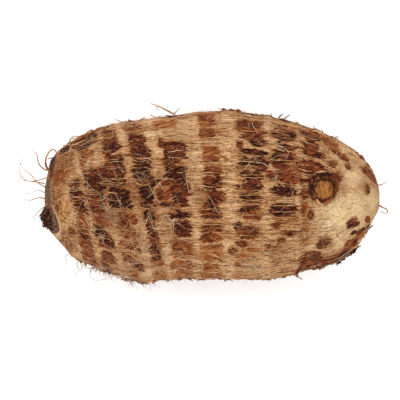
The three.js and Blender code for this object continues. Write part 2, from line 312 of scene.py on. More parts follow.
# Torn husk on the upper side, ring by ring from the crown: where each patch
# starts and ends along the corm and across it, how dark it is, and its turn.
HUSK_PATCHES = (
    # first ring
    (-86.5, -82, 26.5, 30, 0.85),
    (-94.5, -90, 13, 23, 0.95, -10),
    (-89, -83.5, 9.5, 15.5, 0.5),
    (-80.5, -75, 6, 10, 0.8),
    (-80, -73, -3, 4.5, 0.85),
    (-77.5, -72, -8, -1, 0.9),
    (-76, -72.5, -15.5, -8, 0.55),
    (-75, -69.5, -24, -18, 0.75),
    (-74, -68.5, -30.5, -24, 0.6),
    (-72.5, -65, -42.5, -31, 0.5),
    # second ring
    (-79.5, -65, 30, 38, 0.8),
    (-75, -67, 23.5, 28, 0.55),
    (-74, -71, 16, 23.5, 0.5),
    (-71.5, -59.5, 13, 17, 0.7),
    (-70, -59, 4, 13, 0.95),
    (-70.5, -60, -3, 3.8, 0.8),
    (-68, -59.5, -9.5, -3, 0.75),
    (-65, -59, -17.5, -11.5, 0.55),
    (-65, -60.5, -23.5, -18, 0.9),
    (-62.5, -54.5, -30, -22, 0.85),
    (-61, -55, -39, -32, 0.6),
    (-61, -56.5, -44.5, -39.5, 0.7),
    # third ring
    (-61, -57.5, 33.5, 41.5, 0.75),
    (-57, -53.5, 34, 41.5, 0.6),
    (-60.5, -50.5, 27, 33.5, 0.85),
    (-60, -56, 20, 27, 0.6),
    (-58, -49, 19, 25, 0.95),
    (-60, -48.5, 12.5, 19.5, 0.85),
    (-59, -47, 5.8, 13, 0.95),
    (-57, -44.5, -6.5, 5.5, 1),
    (-50.5, -45.5, -19, -8.5, 0.7),
    (-45, -41, -16, -9, 0.45),
    (-50, -39.5, -24, -19, 0.55),
    (-50.5, -41, -31, -26, 0.5),
    (-48.5, -42.5, -38.5, -32.5, 0.5),
    (-43, -37, -42.5, -38, 0.7),
    (-44.5, -39.5, -49, -43, 0.35),
    # fourth ring
    (-49, -38.5, 41, 45.5, 0.55),
    (-45.5, -36.5, 30, 38.5, 0.8),
    (-44.5, -34, 24, 29.5, 0.8),
    (-42, -33, 17.5, 22, 0.95),
    (-42.5, -32, 10, 17.2, 0.95),
    (-40, -30, 5.8, 9.8, 1),
    (-38.5, -31, -0.5, 5.5, 1),
    (-38, -30, -6.5, -1, 1),
    (-36.5, -30, -13, -8.5, 0.95),
    (-35.5, -30, -19, -14.5, 0.8),
    (-33.5, -28, -26, -20, 0.75),
    (-32, -27, -39, -27.5, 0.72),
    (-31, -24.5, -42.5, -39, 0.3),
    (-31, -24, -48.5, -44.5, 0.25),
    # fifth ring
    (-31, -17.5, 42.5, 48, 0.35),
    (-27.5, -24.5, 31, 35, 0.8),
    (-25, -12, 23.5, 33.5, 0.8),
    (-25, -14, 18.5, 23, 0.6),
    (-23.5, -11.5, 11, 18.5, 0.95),
    (-27, -20, 6.5, 10, 0.65),
    (-28, -20.5, -2.5, 4.5, 0.55),
    (-27.5, -20.5, -5.5, -2.5, 0.8),
    (-20, -9, 0.5, 10, 0.85),
    (-19, -10, -6.5, 0, 0.75),
    (-20.5, -9, -13, -9, 0.95),
    (-18.5, -8.5, -23.5, -14, 0.8),
    (-20, -8, -32, -26, 0.45),
    (-20, -8, -37, -32.5, 0.42),
    (-20, -8, -44.5, -38, 0.38),
    (-18, -8, -50, -45.5, 0.25),
    # sixth ring
    (-3.5, 5.5, 42.5, 51, 0.45),
    (-3, 6, 35.5, 41.5, 0.5),
    (-1, 8, 20.5, 31, 0.5),
    (0, 9, 12, 19, 0.62),
    (-0.5, 10, 5, 11.5, 0.8),
    (1, 11.5, -1, 4, 0.7),
    (0, 8.5, -7, -2, 0.8),
    (-2, 10, -14, -8, 0.75),
    (-2, 9, -21, -16.5, 0.65),
    (-2, 8.5, -27, -22.5, 0.62),
    (-2, 8.5, -32.5, -29.5, 0.38),
    (-3, 8.5, -38.5, -33.5, 0.36),
    (-0.5, 8, -44.5, -40, 0.3),
    (-2.5, 9.5, -49, -45, 0.35),
    # seventh ring
    (18.5, 34, 41.5, 45.5, 0.72),
    (18.5, 35, 38, 41, 0.5),
    (22, 34, 34, 38, 0.7),
    (27, 37, 30, 33.5, 0.85),
    (21, 36.5, 24.5, 28, 0.9, -8),
    (20.5, 27, 17.5, 23.5, 0.9),
    (18.5, 22.5, 29, 33, 0.55),
    (27, 38, 16, 23, 0.9, -12),
    (21.5, 34, 10, 15.5, 0.95, -8),
    (21, 34, 4, 9.5, 0.8, -12),
    (21, 32.5, -3.5, 2, 0.95, -8),
    (20, 30, -10, -5.5, 0.95),
    (22, 33.5, -14, -8, 0.5),
    (17.5, 22, -20.5, -15.5, 0.9),
    (20, 32.5, -25, -18, 0.62),
    (19, 25.5, -29.5, -26, 0.65),
    (22, 30, -32, -30.5, 0.4),
    (19, 25, -36, -34, 0.3),
    (17, 21, -41, -39, 0.25),
    (17, 21, -49, -45, 0.25),
    # eighth ring
    (40, 54.5, 39.5, 43, 0.55),
    (39.5, 54.5, 33.5, 39, 0.85, 6),
    (42.5, 54.5, 28, 32, 0.9),
    (41, 52.5, 25.5, 29, 0.9),
    (39, 53, 20.5, 26, 0.9, 14),
    (40, 50, 17, 20.5, 0.85),
    (36.5, 47.5, 10, 16, 0.9),
    (44.5, 55, 6.5, 16, 0.7),
    (40, 54.5, 1, 6, 0.95),
    (39.5, 54, -11.5, -4, 0.9),
    (42.5, 53.5, -15.5, -12, 0.55),
    (40, 45, -19, -15, 0.55),
    (47, 55, -23, -20.5, 0.8),
    (37, 42, -30, -28, 0.4),
    # ninth ring
    (58, 69, 33.5, 39.5, 0.65, -22),
    (59, 68, 28, 33, 0.65),
    (58, 72, 23.5, 28, 0.7),
    (54.5, 71, 12.5, 22, 0.75),
    (56.5, 62.5, 8.5, 12, 0.65),
    (57, 62, -0.5, 5.5, 0.55),
    (57.5, 60.5, -12, -3, 0.55),
    (58, 61, -22, -19, 0.35),
    (58, 62.5, -30, -26, 0.35, 35),
    (56, 70, -42, -34, 0.68),
    (66, 75, -32, -26, 0.8),
    # last ring and the base end
    (69, 80, 31, 35, 0.45, -25),
    (75.5, 86, 24, 28, 0.5, -25),
    (74.5, 78.5, 18, 22, 0.65),
    (84.4, 87.1, 17.3, 20.2, 1.35),
    (97, 104, 8, 17, 0.5, -35),
    (85, 90.5, -18.5, -13, 0.75),
    (91, 96, -24.5, -20.5, 0.4),
    (83, 91, -31.5, -25.5, 0.55),
    (78, 90, -39, -31.5, 0.9, 30),
    (69, 83.5, -40, -35.5, 0.6, 15),
    (54.5, 75, -44.5, -39.5, 0.55, 12),
)
NO_HUSK = -6.0  # mm inside husk, of skin far from any patch
PLAIN_DARK = 0.6  # how dark husk is where no patch says
SQUARE_TO = 18  # mm along: husk patches are squarer on the crown's side of this
HUSK_SEED = 411
UNDER_FROM, UNDER_TO = 173, 367  # degrees round the corm that the list above leaves out
WORN_RINGS = ((86, 2.8), (94, 2.2))  # two more, almost worn away, under the base end


def husk_field(points, angle):
    """How far inside torn husk each point is, in mm, and how dark the husk is there."""
    depth = np.full(angle.shape, NO_HUSK)
    darkness = np.full(angle.shape, PLAIN_DARK)
    radius = np.maximum(6.0, np.hypot(points[..., 1], points[..., 2]))

    def add_patch(x, x_half, middle, arc_half, dark, turn, corner):
        across = np.angle(np.exp(1j * (angle - middle))) * -radius
        lean = float(ring_lean(x, math.cos(middle)))
        along = points[..., 0] - x + lean * math.sin(middle) * across
        slope = math.radians(turn)
        u = (along * math.cos(slope) + across * math.sin(slope)) / x_half
        v = (across * math.cos(slope) - along * math.sin(slope)) / arc_half
        reach = (np.abs(u) ** corner + np.abs(v) ** corner) ** (1 / corner)
        inside = (1 - reach) * min(x_half, arc_half)
        closer = inside > depth
        darkness[closer] = dark
        depth[closer] = inside[closer]

    for x_from, x_to, y_from, y_to, dark, *turn in HUSK_PATCHES:
        x = 0.5 * (x_from + x_to)
        first = angle_seen_at(x, y_to)
        last = angle_seen_at(x, y_from)
        arc_half = 0.5 * (last - first) * 0.5 * float(upper_height(x) + lower_height(x))
        corner = 2.4 if x > SQUARE_TO else 4.0
        add_patch(
            x, 0.5 * (x_to - x_from), 0.5 * (first + last), arc_half, dark, *(turn or (0,)), corner
        )

    chance = random.Random(HUSK_SEED)
    for place, half in (*RINGS, *WORN_RINGS):
        turn = UNDER_FROM + chance.uniform(0, 4)
        while turn < UNDER_TO:
            width = chance.uniform(5, 13)
            middle = math.radians(turn + width / 2)
            lean = float(ring_lean(place, math.cos(middle)))
            x = place - lean * BODY_RADIUS * math.cos(middle) + chance.uniform(-1, 1)
            x_half = half * chance.uniform(0.8, 1.1)
            arc_half = math.radians(width / 2) * float(half_depth(x)) * 0.88
            add_patch(x, x_half, middle, arc_half, chance.choice((0.45, 0.6, 0.8, 0.9)), 0, 3.2)
            turn += width + chance.uniform(0.5, 3 if (place, half) in RINGS else 24)
    return depth, darkness


husk_depth, husk_dark = husk_field(skin_grid, angle_grid)
ring_band = np.zeros(angle_grid.shape)
for place, half in RINGS:
    ring_band = np.maximum(ring_band, smooth(half + 3.5, half - 1.5, np.abs(station_grid - place)))


def noise_grid(points, grain, start):
    """Smooth noise from -1 to 1 on a grid of points, its grain given on each axis in mm."""
    flat = points.reshape(-1, 3) / np.asarray(grain) + start
    return np.array([noise.noise(point) for point in flat.tolist()]).reshape(points.shape[:-1])


def soft_spot(points, x, y, x_half, y_half):
    """A spot on the upper side, 1 at its middle."""
    spread = ((points[..., 0] - x) / x_half) ** 2 + ((points[..., 1] - y) / y_half) ** 2
    return np.exp(-spread) * smooth(-14, 2, points[..., 2])


# Spots on the upper side: middle x and y, half sizes in mm, and strength.
SPOTS = {
    # scraped down to the cream under the cork
    "cream": (
        (79, -11, 9, 11, 1.0),
        (91, -5, 9, 9, 0.85),
        (74, -17, 7, 8, 0.9),
        (88, -14, 9, 9, 0.85),
        (89, 12, 7, 7, 0.6),
        (96, -6, 5, 7, 0.6),
        (81, -28, 6, 4, 0.6),
        (66, -12, 5, 5, 0.5),
        (77, -22, 6, 6, 0.8),
        (-5.5, 25, 4.5, 3.5, 0.3),
        (66, 10, 3, 6, 0.3),
        (-81.6, 9, 1.6, 4, 0.6),
        (98, -3, 6, 8, 0.7),
        (-14, 40, 9, 8, 0.35),
        (-33, -47, 10, 5, 0.45),
        (28, -41, 9, 6, 0.3),
        (66, -28, 8, 6, 0.45),
        (-77.4, 21.6, 5, 2.5, 0.5),
        (-87, -9, 1.6, 3, 0.4),
    ),
    # damp husk, red as tannin
    "red": (
        (50, 11.5, 8, 6.5, 1.1),
        (51, 25.5, 5.5, 6, 1.0),
        (60, 17, 12, 8.5, 1.0),
        (40, 16, 6, 5, 0.8),
        (32, 10.5, 6, 4, 0.8),
    ),
    # soil rubbed into the skin
    "soil": (
        (-44, 5, 26, 13, 1.3),
        (-30, -8, 14, 10, 1.3),
        (-27, 5, 10, 8, 1.2),
        (-55, -14, 14, 10, 0.8),
        (-4, 3, 5, 8, 1.1),
        (-44, 14, 8, 6, 1.0),
        (-40, -24, 8, 14, 1.0),
        (-84, 16, 9, 14, 0.6),
        (-71, 2, 6, 8, 0.9),
        (-32, 8, 8, 6, 1.2),
        (-53, 8, 6, 6, 1.3),
        (-8, 14, 4, 17, 0.8),
        (-50, 9, 8, 6, 1.0),
        (67, -16, 6, 6, 0.6),
    ),
    # orange felt of the last sheath
    "felt": ((-84.5, -10, 4.5, 10, 1.0), (-88, -24, 7, 8, 0.6)),
    # skin stained brown
    "stain": (
        (-87, 14, 6, 11, 1.3),
        (-89.5, 0, 5, 13, 1.1),
        (-82, 24, 6, 5, 1.0),
        (-80, 17, 5, 5, 0.7),
        (-85, -28, 9, 8, 1.4),
        (-77, -38, 6, 5, 0.6),
        (-79, -22, 4, 5, 0.7),
        (-82, -4, 2, 5, 0.5),
        (100, 8, 4, 9, 0.45),
        (94, 4, 6, 4, 0.3),
        (88, 4, 9, 2, 0.4),
        (72, -26, 7, 4, 0.6),
        (24, -1, 12, 3, 0.3),
        (-24.5, 0, 4.6, 6.4, 1.2),
        (16.5, -31.8, 3.4, 3.2, 1.3),
        (76.5, 20, 1.8, 2.2, 1.2),
        (86, -17, 1.4, 1.2, 0.8),
        (79, -23, 1, 2, 0.8),
        (60, -12, 4, 6, 0.4),
        (71, 14.5, 7, 3, 0.9),
        (79.5, 12, 4, 4.5, 1.0),
        (62.8, 6, 2.5, 7, 0.8),
        (85, 6, 6, 5, 0.4),
        (-8, 8, 5, 6, 0.4),
        (55, 14, 3, 5, 0.9),
        (84, -33, 6, 3.5, 0.9),
        (-85, -31, 7, 6, 1.2),
    ),
}
on_lip = smooth(1.0, 1.1, share_grid)
drawn = {}
for name, spots in SPOTS.items():
    on_skin_rows = np.zeros(angle_grid.shape)
    on_cut_rows = np.zeros(share_grid.shape)
    for x, y, x_half, y_half, strength in spots:
        shape = (x, y, x_half, y_half)
        on_skin_rows = np.maximum(on_skin_rows, strength * soft_spot(skin_grid, *shape))
        on_cut_rows = np.maximum(on_cut_rows, strength * soft_spot(cut_grid, *shape) * on_lip)
    drawn[name] = (on_cut_rows, on_skin_rows)

PIT = (86.0, 18.6)  # a small deep hole

# Relief, in mm: ring edges stand up, torn husk lies lower, skin is wrinkled.
from_below = np.degrees(np.arccos(np.clip(-np.sin(angle_grid), -1, 1)))
relief = np.zeros(angle_grid.shape)
for place, half in RINGS:
    for edge in (place - half - 0.7, place + half + 0.7):
        relief += RING_LIP * np.exp(-(((station_grid - edge) / 1.1) ** 2))
    relief -= 0.35 * smooth(half + 0.5, half - 0.5, np.abs(station_grid - place))
lumpy = noise_grid(skin_grid, (6.0, 4.0, 4.0), 3.1)
wrinkled = noise_grid(skin_grid, (9.0, 1.5, 1.5), 7.7)
fine = noise_grid(skin_grid, (3.2, 0.9, 0.9), 12.9)
relief *= 0.6 + 0.9 * lumpy
relief += 0.28 * lumpy + 0.3 * wrinkled + 0.14 * fine
relief -= HUSK_DEPTH * smooth(-0.4, 0.8, husk_depth + 0.7 * wrinkled)
for x, degrees, size in BUDS:
    middle = skin_base(np.array(x), np.array(math.radians(degrees)))
    from_middle = np.linalg.norm(skin_grid - middle, axis=-1)
    relief -= BUD_SINK * size * smooth(size, 0.75 * size, from_middle)
relief *= 1 - 0.7 * np.minimum(1, drawn["cream"][1])
relief -= 2.6 * soft_spot(skin_grid, *PIT, 1.3, 1.3)
relief *= smooth(*WORN_DEGREES, from_below) * smooth(BASE_REACH, BASE_REACH - 3, station_grid)
skin_grid = skin_grid + relief[..., None] * outward_grid
cut_grid[..., 0] -= 0.35 * noise_grid(cut_grid, (2.0, 1.2, 1.2), 5.5) * smooth(0, 0.15, share_grid)

# Along the corm and round it, in mm: grain runs lengthwise, and husk veins aslant.
# The slant turns from ring to ring: station and degrees round the corm in all.
VEIN_TURNS = ((-95, 0), (-20, 45), (16, 62), (38, 52), (70, 70), (105, 85))
round_reach = np.sqrt(BODY_RADIUS * np.maximum(1.0, half_depth(skin_grid[..., 0])))
cut_reach = CUT_HALF[1] * share_grid


def grown_along(arc, reach, turned):
    return np.stack((arc, reach * np.cos(turned), reach * np.sin(turned)), axis=-1)


grown = grown_along(arc_grid, round_reach, angle_grid)
vein_turn = np.radians(np.interp(stations, *zip(*VEIN_TURNS)))[:, None]
veins = grown_along(arc_grid, round_reach, angle_grid + vein_turn)
uneven = noise_grid(cut_grid, (6.0, 6.0, 6.0), 15.3) * smooth(1.0, 0.8, share_grid)
cut_grown = grown_along(
    cut_reach - LIP_SHARE * CUT_HALF[1] + 2.4 * uneven, cut_reach, cut_angle_grid
)

# The mesh: one row of points spun round the corm's axis, then laid on the grids.
builder = bmesh.new()
profile = [builder.verts.new((row, 1, 0)) for row in range(CUT_ROWS + SKIN_ROWS)]
edges = [builder.edges.new(pair) for pair in zip(profile, profile[1:])]
bmesh.ops.spin(
    builder,
    geom=profile + edges,
    cent=(0, 0, 0),
    axis=(1, 0, 0),
    angle=2 * math.pi,
    steps=SKIN_COLUMNS,
    use_merge=True,
)
skin_mesh = bpy.data.meshes.new("corm_skin")
builder.to_mesh(skin_mesh)
builder.free()

spun = np.empty(len(skin_mesh.vertices) * 3)
skin_mesh.vertices.foreach_get("co", spun)
spun = spun.reshape(-1, 3)
row = np.rint(spun[:, 0]).astype(int)
turned = np.arctan2(spun[:, 2], spun[:, 1]) / (2 * math.pi) * SKIN_COLUMNS
column = np.rint(turned).astype(int) % SKIN_COLUMNS
placed = np.concatenate((cut_grid, skin_grid))[row, column] + (0, 0, AXIS_HEIGHT)
placed[:, 2] = np.maximum(0, placed[:, 2])
skin_mesh.vertices.foreach_set("co", (placed * MM).ravel())

blank = np.zeros(share_grid.shape)
blank_skin = np.zeros(angle_grid.shape)
uneven_rim = noise_grid(cut_grid, (5.0, 5.0, 5.0), 21.7)
rim_end = 1.04 + 0.04 * uneven_rim + 0.03 * np.maximum(0, np.sin(cut_angle_grid))
torn_lip = smooth(0.75, 0.95, np.cos(cut_angle_grid - 0.5))
edge_share = share_grid * (1 + 0.05 * np.sin(2 * cut_angle_grid) ** 2 + 0.1 * torn_lip)
rim = smooth(0.97, 1.0, edge_share) * smooth(rim_end + 0.05, rim_end, edge_share)
rim *= 1 - torn_lip
lip_husk = torn_lip * smooth(0.97, 1.02, edge_share)
from_stub = (cut_grid[..., 1:] - CUT_MIDDLE[1] * np.array((1, 0)) - STUB[:2]) / STUB[3]
stub_dark = np.exp(-np.sum(from_stub**2, axis=-1)) * (share_grid < 1)
for name, cut_values, skin_values in (
    ("husk_depth", 8 * lip_husk - 6, husk_depth),
    ("husk_dark", blank + PLAIN_DARK, husk_dark),
    ("ring_band", blank, ring_band),
    *((name, *values) for name, values in drawn.items()),
    ("cut", smooth(1.02, 0.98, edge_share), blank_skin),
    ("rim", rim, blank_skin),
    ("stub", stub_dark, blank_skin),
    ("grown", cut_grown, grown),
    ("veins", cut_grown, veins),
):
    kind = "FLOAT_VECTOR" if skin_values.ndim == 3 else "FLOAT"
    attribute = skin_mesh.attributes.new(name, kind, "POINT")
    values = np.concatenate((cut_values, skin_values))[row, column].astype(np.float32)
    attribute.data.foreach_set("vector" if skin_values.ndim == 3 else "value", values.ravel())

# The two poles are rows of points in one place: they are merged, and faces turned out.
builder = bmesh.new()
builder.from_mesh(skin_mesh)
ends = [v for v, r in zip(builder.verts, row) if r in (0, CUT_ROWS + SKIN_ROWS - 1)]
bmesh.ops.remove_doubles(builder, verts=ends, dist=0.00002)
bmesh.ops.recalc_face_normals(builder, faces=builder.faces)
for face in builder.faces:
    face.smooth = True
builder.to_mesh(skin_mesh)
builder.free()

# Taro skin: thin dead cork, dry and matt, over pale flesh, with the brown husk
# of leaf bases torn off along its veins. Husk is a little less rough than cork;
# the shine on its veins, damp or dry, is painted into its colour as highlights.
cork, tree = new_material("taro_cork_skin")
read = {}
for name in ("grown", "veins", "husk_depth", "husk_dark", "ring_band", "cut", "rim", "stub", *SPOTS):
    attribute = add_node(tree, "Attribute", attribute_name=name)
    read[name] = attribute.outputs["Vector" if name in ("grown", "veins") else "Fac"]

# Each grain's length and width in mm. Wrinkles are 2 to 3 mm apart, fibres 0.5 mm.
grain = {}
for name, along, size, detail in (
    ("blotch", "grown", (15, 8, 8), 3),
    ("wrinkle", "grown", (20, 1.9, 1.9), 3),
    ("small_wrinkle", "grown", (7, 1.0, 1.0), 2),
    ("fibre", "grown", (16, 0.5, 0.5), 2),
    ("mottle", "grown", (2.4, 1.2, 1.2), 3),
    ("crackle", "grown", (0.8, 3.0, 3.0), 2),
    ("speckle", "grown", (1.6, 0.9, 0.9), 3),
    ("strand", "grown", (14, 1.1, 1.1), 1),
    ("vein", "veins", (6, 0.75, 0.75), 3),
    ("stalk", "grown", (0.8, 9, 9), 2),
    ("tint", "veins", (5, 3, 3), 1),
):
    scaled = add_node(tree, "VectorMath", (read[along], size), operation="DIVIDE")
    grain[name] = add_node(tree, "TexNoise", {"Vector": scaled, "Scale": 1, "Detail": detail})
cells = add_node(tree, "VectorMath", (read["veins"], (9.0, 2.6, 2.6)), operation="DIVIDE")
scale_cell = add_node(tree, "TexVoronoi", {"Vector": cells, "Scale": 1, "Randomness": 0.9})
scale_edge = add_node(
    tree, "TexVoronoi", {"Vector": cells, "Scale": 1, "Randomness": 0.9}, feature="DISTANCE_TO_EDGE"
)
cell_chance = add_node(tree, "SeparateColor", (scale_cell.outputs["Color"],))

# Bare cork: tan, blotched, with dark wrinkles that crowd together inside the rings.
skin = add_node(
    tree,
    "ValToRGB",
    (grain["blotch"],),
    stops=((0.3, "#AE855C"), (0.45, "#CAA47A"), (0.6, "#D6B48A"), (0.75, "#E0C6A0")),
)
band_share = add_node(tree, "Math", (read["ring_band"], 0.28), operation="MULTIPLY")
skin = add_node(
    tree,
    "Mix",
    (band_share, skin, linear("#9A6430")),
    data_type="RGBA",
)
creases = []
for name, middle, width, strength in (
    ("wrinkle", 0.5, 0.035, 1.0),
    ("small_wrinkle", 0.52, 0.045, 0.5),
    ("crackle", 0.5, 0.022, 0.4),
):
    off = add_node(tree, "Math", (grain[name], middle), operation="SUBTRACT")
    off = add_node(tree, "Math", (off,), operation="ABSOLUTE")
    line = add_node(
        tree, "MapRange", (off, width * 0.3, width, strength, 0), interpolation_type="SMOOTHSTEP"
    )
    creases.append(line)
some = add_node(tree, "MapRange", (grain["blotch"], 0.38, 0.6, 1.0, 0.55))
crowded = add_node(tree, "MapRange", (read["ring_band"], 0, 1, 0.8, 1.0))
deep = add_node(tree, "Math", (creases[0], some), operation="MULTIPLY")
deep = add_node(tree, "Math", (deep, crowded), operation="MULTIPLY")
light = add_node(tree, "Math", (creases[1], creases[2]), operation="MAXIMUM")
light = add_node(tree, "Math", (light, crowded), operation="MULTIPLY")
skin = add_node(tree, "Mix", (light, skin, linear("#875230")), data_type="RGBA")
skin = add_node(tree, "Mix", (deep, skin, linear("#6A3A1C")), data_type="RGBA")
fibre_shade = add_node(
    tree, "ValToRGB", (grain["fibre"],), stops=((0.3, "#C8B8A4"), (0.6, "#FFFFFF"))
)
skin = add_node(tree, "Mix", (0.7, skin, fibre_shade), data_type="RGBA", blend_type="MULTIPLY")
speckle = add_node(
    tree, "ValToRGB", (grain["speckle"],), stops=((0.36, "#C09C80"), (0.5, "#F4EEE4"), (0.6, "#FFFFFF"))
)
skin = add_node(tree, "Mix", (0.8, skin, speckle), data_type="RGBA", blend_type="MULTIPLY")
scab = add_node(tree, "MapRange", (grain["mottle"], 0.61, 0.66, 0, 0.7))
skin = add_node(tree, "Mix", (scab, skin, linear("#70401F")), data_type="RGBA")

# Cream where the base was scraped, almost bare of wrinkles.
rough_edge = add_node(tree, "MapRange", (grain["mottle"], 0, 1, -0.35, 0.35))
scraped = add_node(tree, "Math", (read["cream"], rough_edge), operation="ADD")
scraped = add_node(tree, "MapRange", (scraped, 0.1, 0.95, 0, 0.95))
flesh = add_node(
    tree, "ValToRGB", (grain["mottle"],), stops=((0.36, "#AE885A"), (0.46, "#C2A67C"), (0.6, "#C8B38C"))
)
skin = add_node(tree, "Mix", (scraped, skin, flesh), data_type="RGBA")

# Felt of short orange fibres where the last sheath was cut off at the crown.
sheath = add_node(tree, "Math", (read["felt"], rough_edge), operation="ADD")
sheath = add_node(tree, "MapRange", (sheath, 0.25, 0.7, 0, 0.85), interpolation_type="SMOOTHSTEP")
sheath_colour = add_node(
    tree,
    "ValToRGB",
    (grain["mottle"],),
    stops=((0.4, "#62371A"), (0.5, "#9C6836"), (0.6, "#C2945C")),
)
skin = add_node(tree, "Mix", (sheath, skin, sheath_colour), data_type="RGBA")
stained = add_node(tree, "Math", (read["stain"], rough_edge), operation="ADD")
stained = add_node(tree, "MapRange", (stained, 0.25, 0.75, 0, 0.85), interpolation_type="SMOOTHSTEP")
stain_colour = add_node(
    tree,
    "ValToRGB",
    (grain["mottle"],),
    stops=((0.42, "#44200F"), (0.5, "#74401F"), (0.58, "#A47244")),
)
skin = add_node(tree, "Mix", (stained, skin, stain_colour), data_type="RGBA")

soil_share = add_node(tree, "MapRange", (grain["mottle"], 0.38, 0.62, 0.85, 0.25))
soil_share = add_node(tree, "Math", (soil_share, read["soil"]), operation="MULTIPLY")
skin = add_node(tree, "Mix", (soil_share, skin, linear("#6E4224")), data_type="RGBA")

# Torn husk: whole scales of it are gone or left, so its edge follows their outlines.
by_scale = add_node(tree, "MapRange", (cell_chance.outputs[0], 0, 1, -0.5, 0.6))
ragged = add_node(tree, "MapRange", (grain["mottle"], 0.2, 0.8, -0.8, 0.9))
crossing = add_node(tree, "MapRange", (grain["strand"], 0.3, 0.7, -0.8, 0.8))
husk_edge = add_node(tree, "Math", (read["husk_depth"], by_scale), operation="ADD")
husk_edge = add_node(tree, "Math", (husk_edge, ragged), operation="ADD")
husk_edge = add_node(tree, "Math", (husk_edge, crossing), operation="ADD")
husk_share = add_node(
    tree, "MapRange", (husk_edge, -0.35, 0.25, 0, 1), interpolation_type="SMOOTHSTEP"
)
stain_share = add_node(
    tree, "MapRange", (husk_edge, -1.8, 0.0, 0, 0.4), interpolation_type="SMOOTHSTEP"
)
seam = add_node(
    tree,
    "MapRange",
    (scale_edge.outputs["Distance"], 0.01, 0.07, 0.5, 0),
    interpolation_type="SMOOTHSTEP",
)
by_cell = add_node(tree, "MapRange", (cell_chance.outputs[1], 0, 1, -0.12, 0.16))
# Lighter on top of the veins and darker between them: partly the fibres' own tone, partly painted highlight
# on the raised veins and painted shade in the grooves.
vein_tone_and_painted_light = add_node(tree, "MapRange", (grain["vein"], 0.3, 0.7, 0.3, -0.26))
dark = add_node(tree, "Math", (read["husk_dark"], by_cell), operation="ADD")
dark = add_node(tree, "Math", (dark, vein_tone_and_painted_light), operation="ADD")
husk = add_node(
    tree,
    "ValToRGB",
    (dark,),
    stops=(
        (0.15, "#AA7040"),
        (0.38, "#8A4C22"),
        (0.55, "#6C3214"),
        (0.75, "#4C1C0C"),
        (0.95, "#260A04"),
    ),
)
damp = add_node(tree, "MapRange", (grain["tint"], 0.35, 0.65, -0.3, 0.3))
damp = add_node(tree, "Math", (read["red"], damp), operation="ADD")
damp = add_node(tree, "MapRange", (damp, 0.3, 0.8, 0, 0.8), interpolation_type="SMOOTHSTEP")
# Damp husk is its own deep red-brown; the orange on top of its veins is painted glints of light.
damp_red_and_painted_glints = add_node(
    tree,
    "ValToRGB",
    (grain["vein"],),
    stops=((0.34, "#34100A"), (0.5, "#682010"), (0.66, "#98441E")),
)
husk = add_node(tree, "Mix", (damp, husk, damp_red_and_painted_glints), data_type="RGBA")
husk = add_node(tree, "Mix", (seam, husk, linear("#9C6438")), data_type="RGBA")
# Painted highlight: a pale pinkish brown on top of the husk's raised veins, standing in for light glancing
# off them.
painted_vein_highlight = add_node(tree, "MapRange", (grain["vein"], 0.56, 0.7, 0, 0.5), interpolation_type="SMOOTHSTEP")
husk = add_node(tree, "Mix", (painted_vein_highlight, husk, linear("#8E5C44")), data_type="RGBA")
skin = add_node(tree, "Mix", (stain_share, skin, linear("#8A4E26")), data_type="RGBA")
colour = add_node(tree, "Mix", (husk_share, skin, husk), data_type="RGBA")

# The cut face: grey-brown dried stalks in arcs, dark at the stub, in a pale rim of live skin.
cut_flesh = add_node(
    tree,
    "ValToRGB",
    (grain["stalk"],),
    stops=((0.34, "#2E1B12"), (0.48, "#644434"), (0.58, "#82614C"), (0.68, "#503428")),
)
stub_dark = add_node(tree, "Math", (read["stub"], rough_edge), operation="ADD")
stub_dark = add_node(tree, "MapRange", (stub_dark, 0.2, 0.7), interpolation_type="SMOOTHSTEP")
cut_flesh = add_node(tree, "Mix", (stub_dark, cut_flesh, linear("#22120C")), data_type="RGBA")
colour = add_node(tree, "Mix", (read["cut"], colour, cut_flesh), data_type="RGBA")
rim_break = add_node(tree, "MapRange", (grain["mottle"], 0.4, 0.56, 0.1, 0.85))
rim_share = add_node(tree, "Math", (read["rim"], rim_break), operation="MULTIPLY")
colour = add_node(tree, "Mix", (rim_share, colour, linear("#C6AC8A")), data_type="RGBA")

# Height in mm: husk lies low, creases are grooves, and fibres and veins stand up.
height = add_node(tree, "Math", (husk_share, -0.3), operation="MULTIPLY")
for source, rise in (
    (grain["fibre"], 0.25),
    (deep, -0.35),
    (light, -0.15),
    (grain["vein"], 0.5),
    (grain["mottle"], 0.35),
    (seam, 0.2),
):
    height = add_node(tree, "Math", (source, rise, height), operation="MULTIPLY_ADD")
calm = add_node(tree, "MapRange", (scraped, 0, 1, 1, 0.3))
height = add_node(tree, "Math", (height, calm), operation="MULTIPLY")
bump = add_node(tree, "Bump", {"Height": height, "Strength": 1.0, "Distance": MM})
roughness = add_node(tree, "MapRange", (husk_share, 0, 1, 0.85, 0.7))
surface = add_node(
    tree,
    "BsdfPrincipled",
    {"Base Color": colour, "Roughness": roughness, "Normal": bump, "Specular IOR Level": 0.06},
)
add_node(tree, "OutputMaterial", (surface,))
skin_mesh.materials.append(cork)
corm_skin = bpy.data.objects.new("corm_skin", skin_mesh)
bpy.context.scene.collection.objects.link(corm_skin)
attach(corm_skin, "root")
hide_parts("corm")

# ---------------------------------------------------------------------------
# Husk flakes: scales of dead leaf base still held in the rings by one end. Each
# is a thin brown lens of fibre, lifted at its free end, a millimetre proud.
# ---------------------------------------------------------------------------
FLAKE_COUNT = 560
FLAKE_SEED = 52
FLAKE_THICKNESS = 0.3
VEIN_STEP = 2  # mm each way over which a vein's slant is taken
TABLE_CLEARANCE = 0.6  # mm above the table, the lowest point that on_skin gives


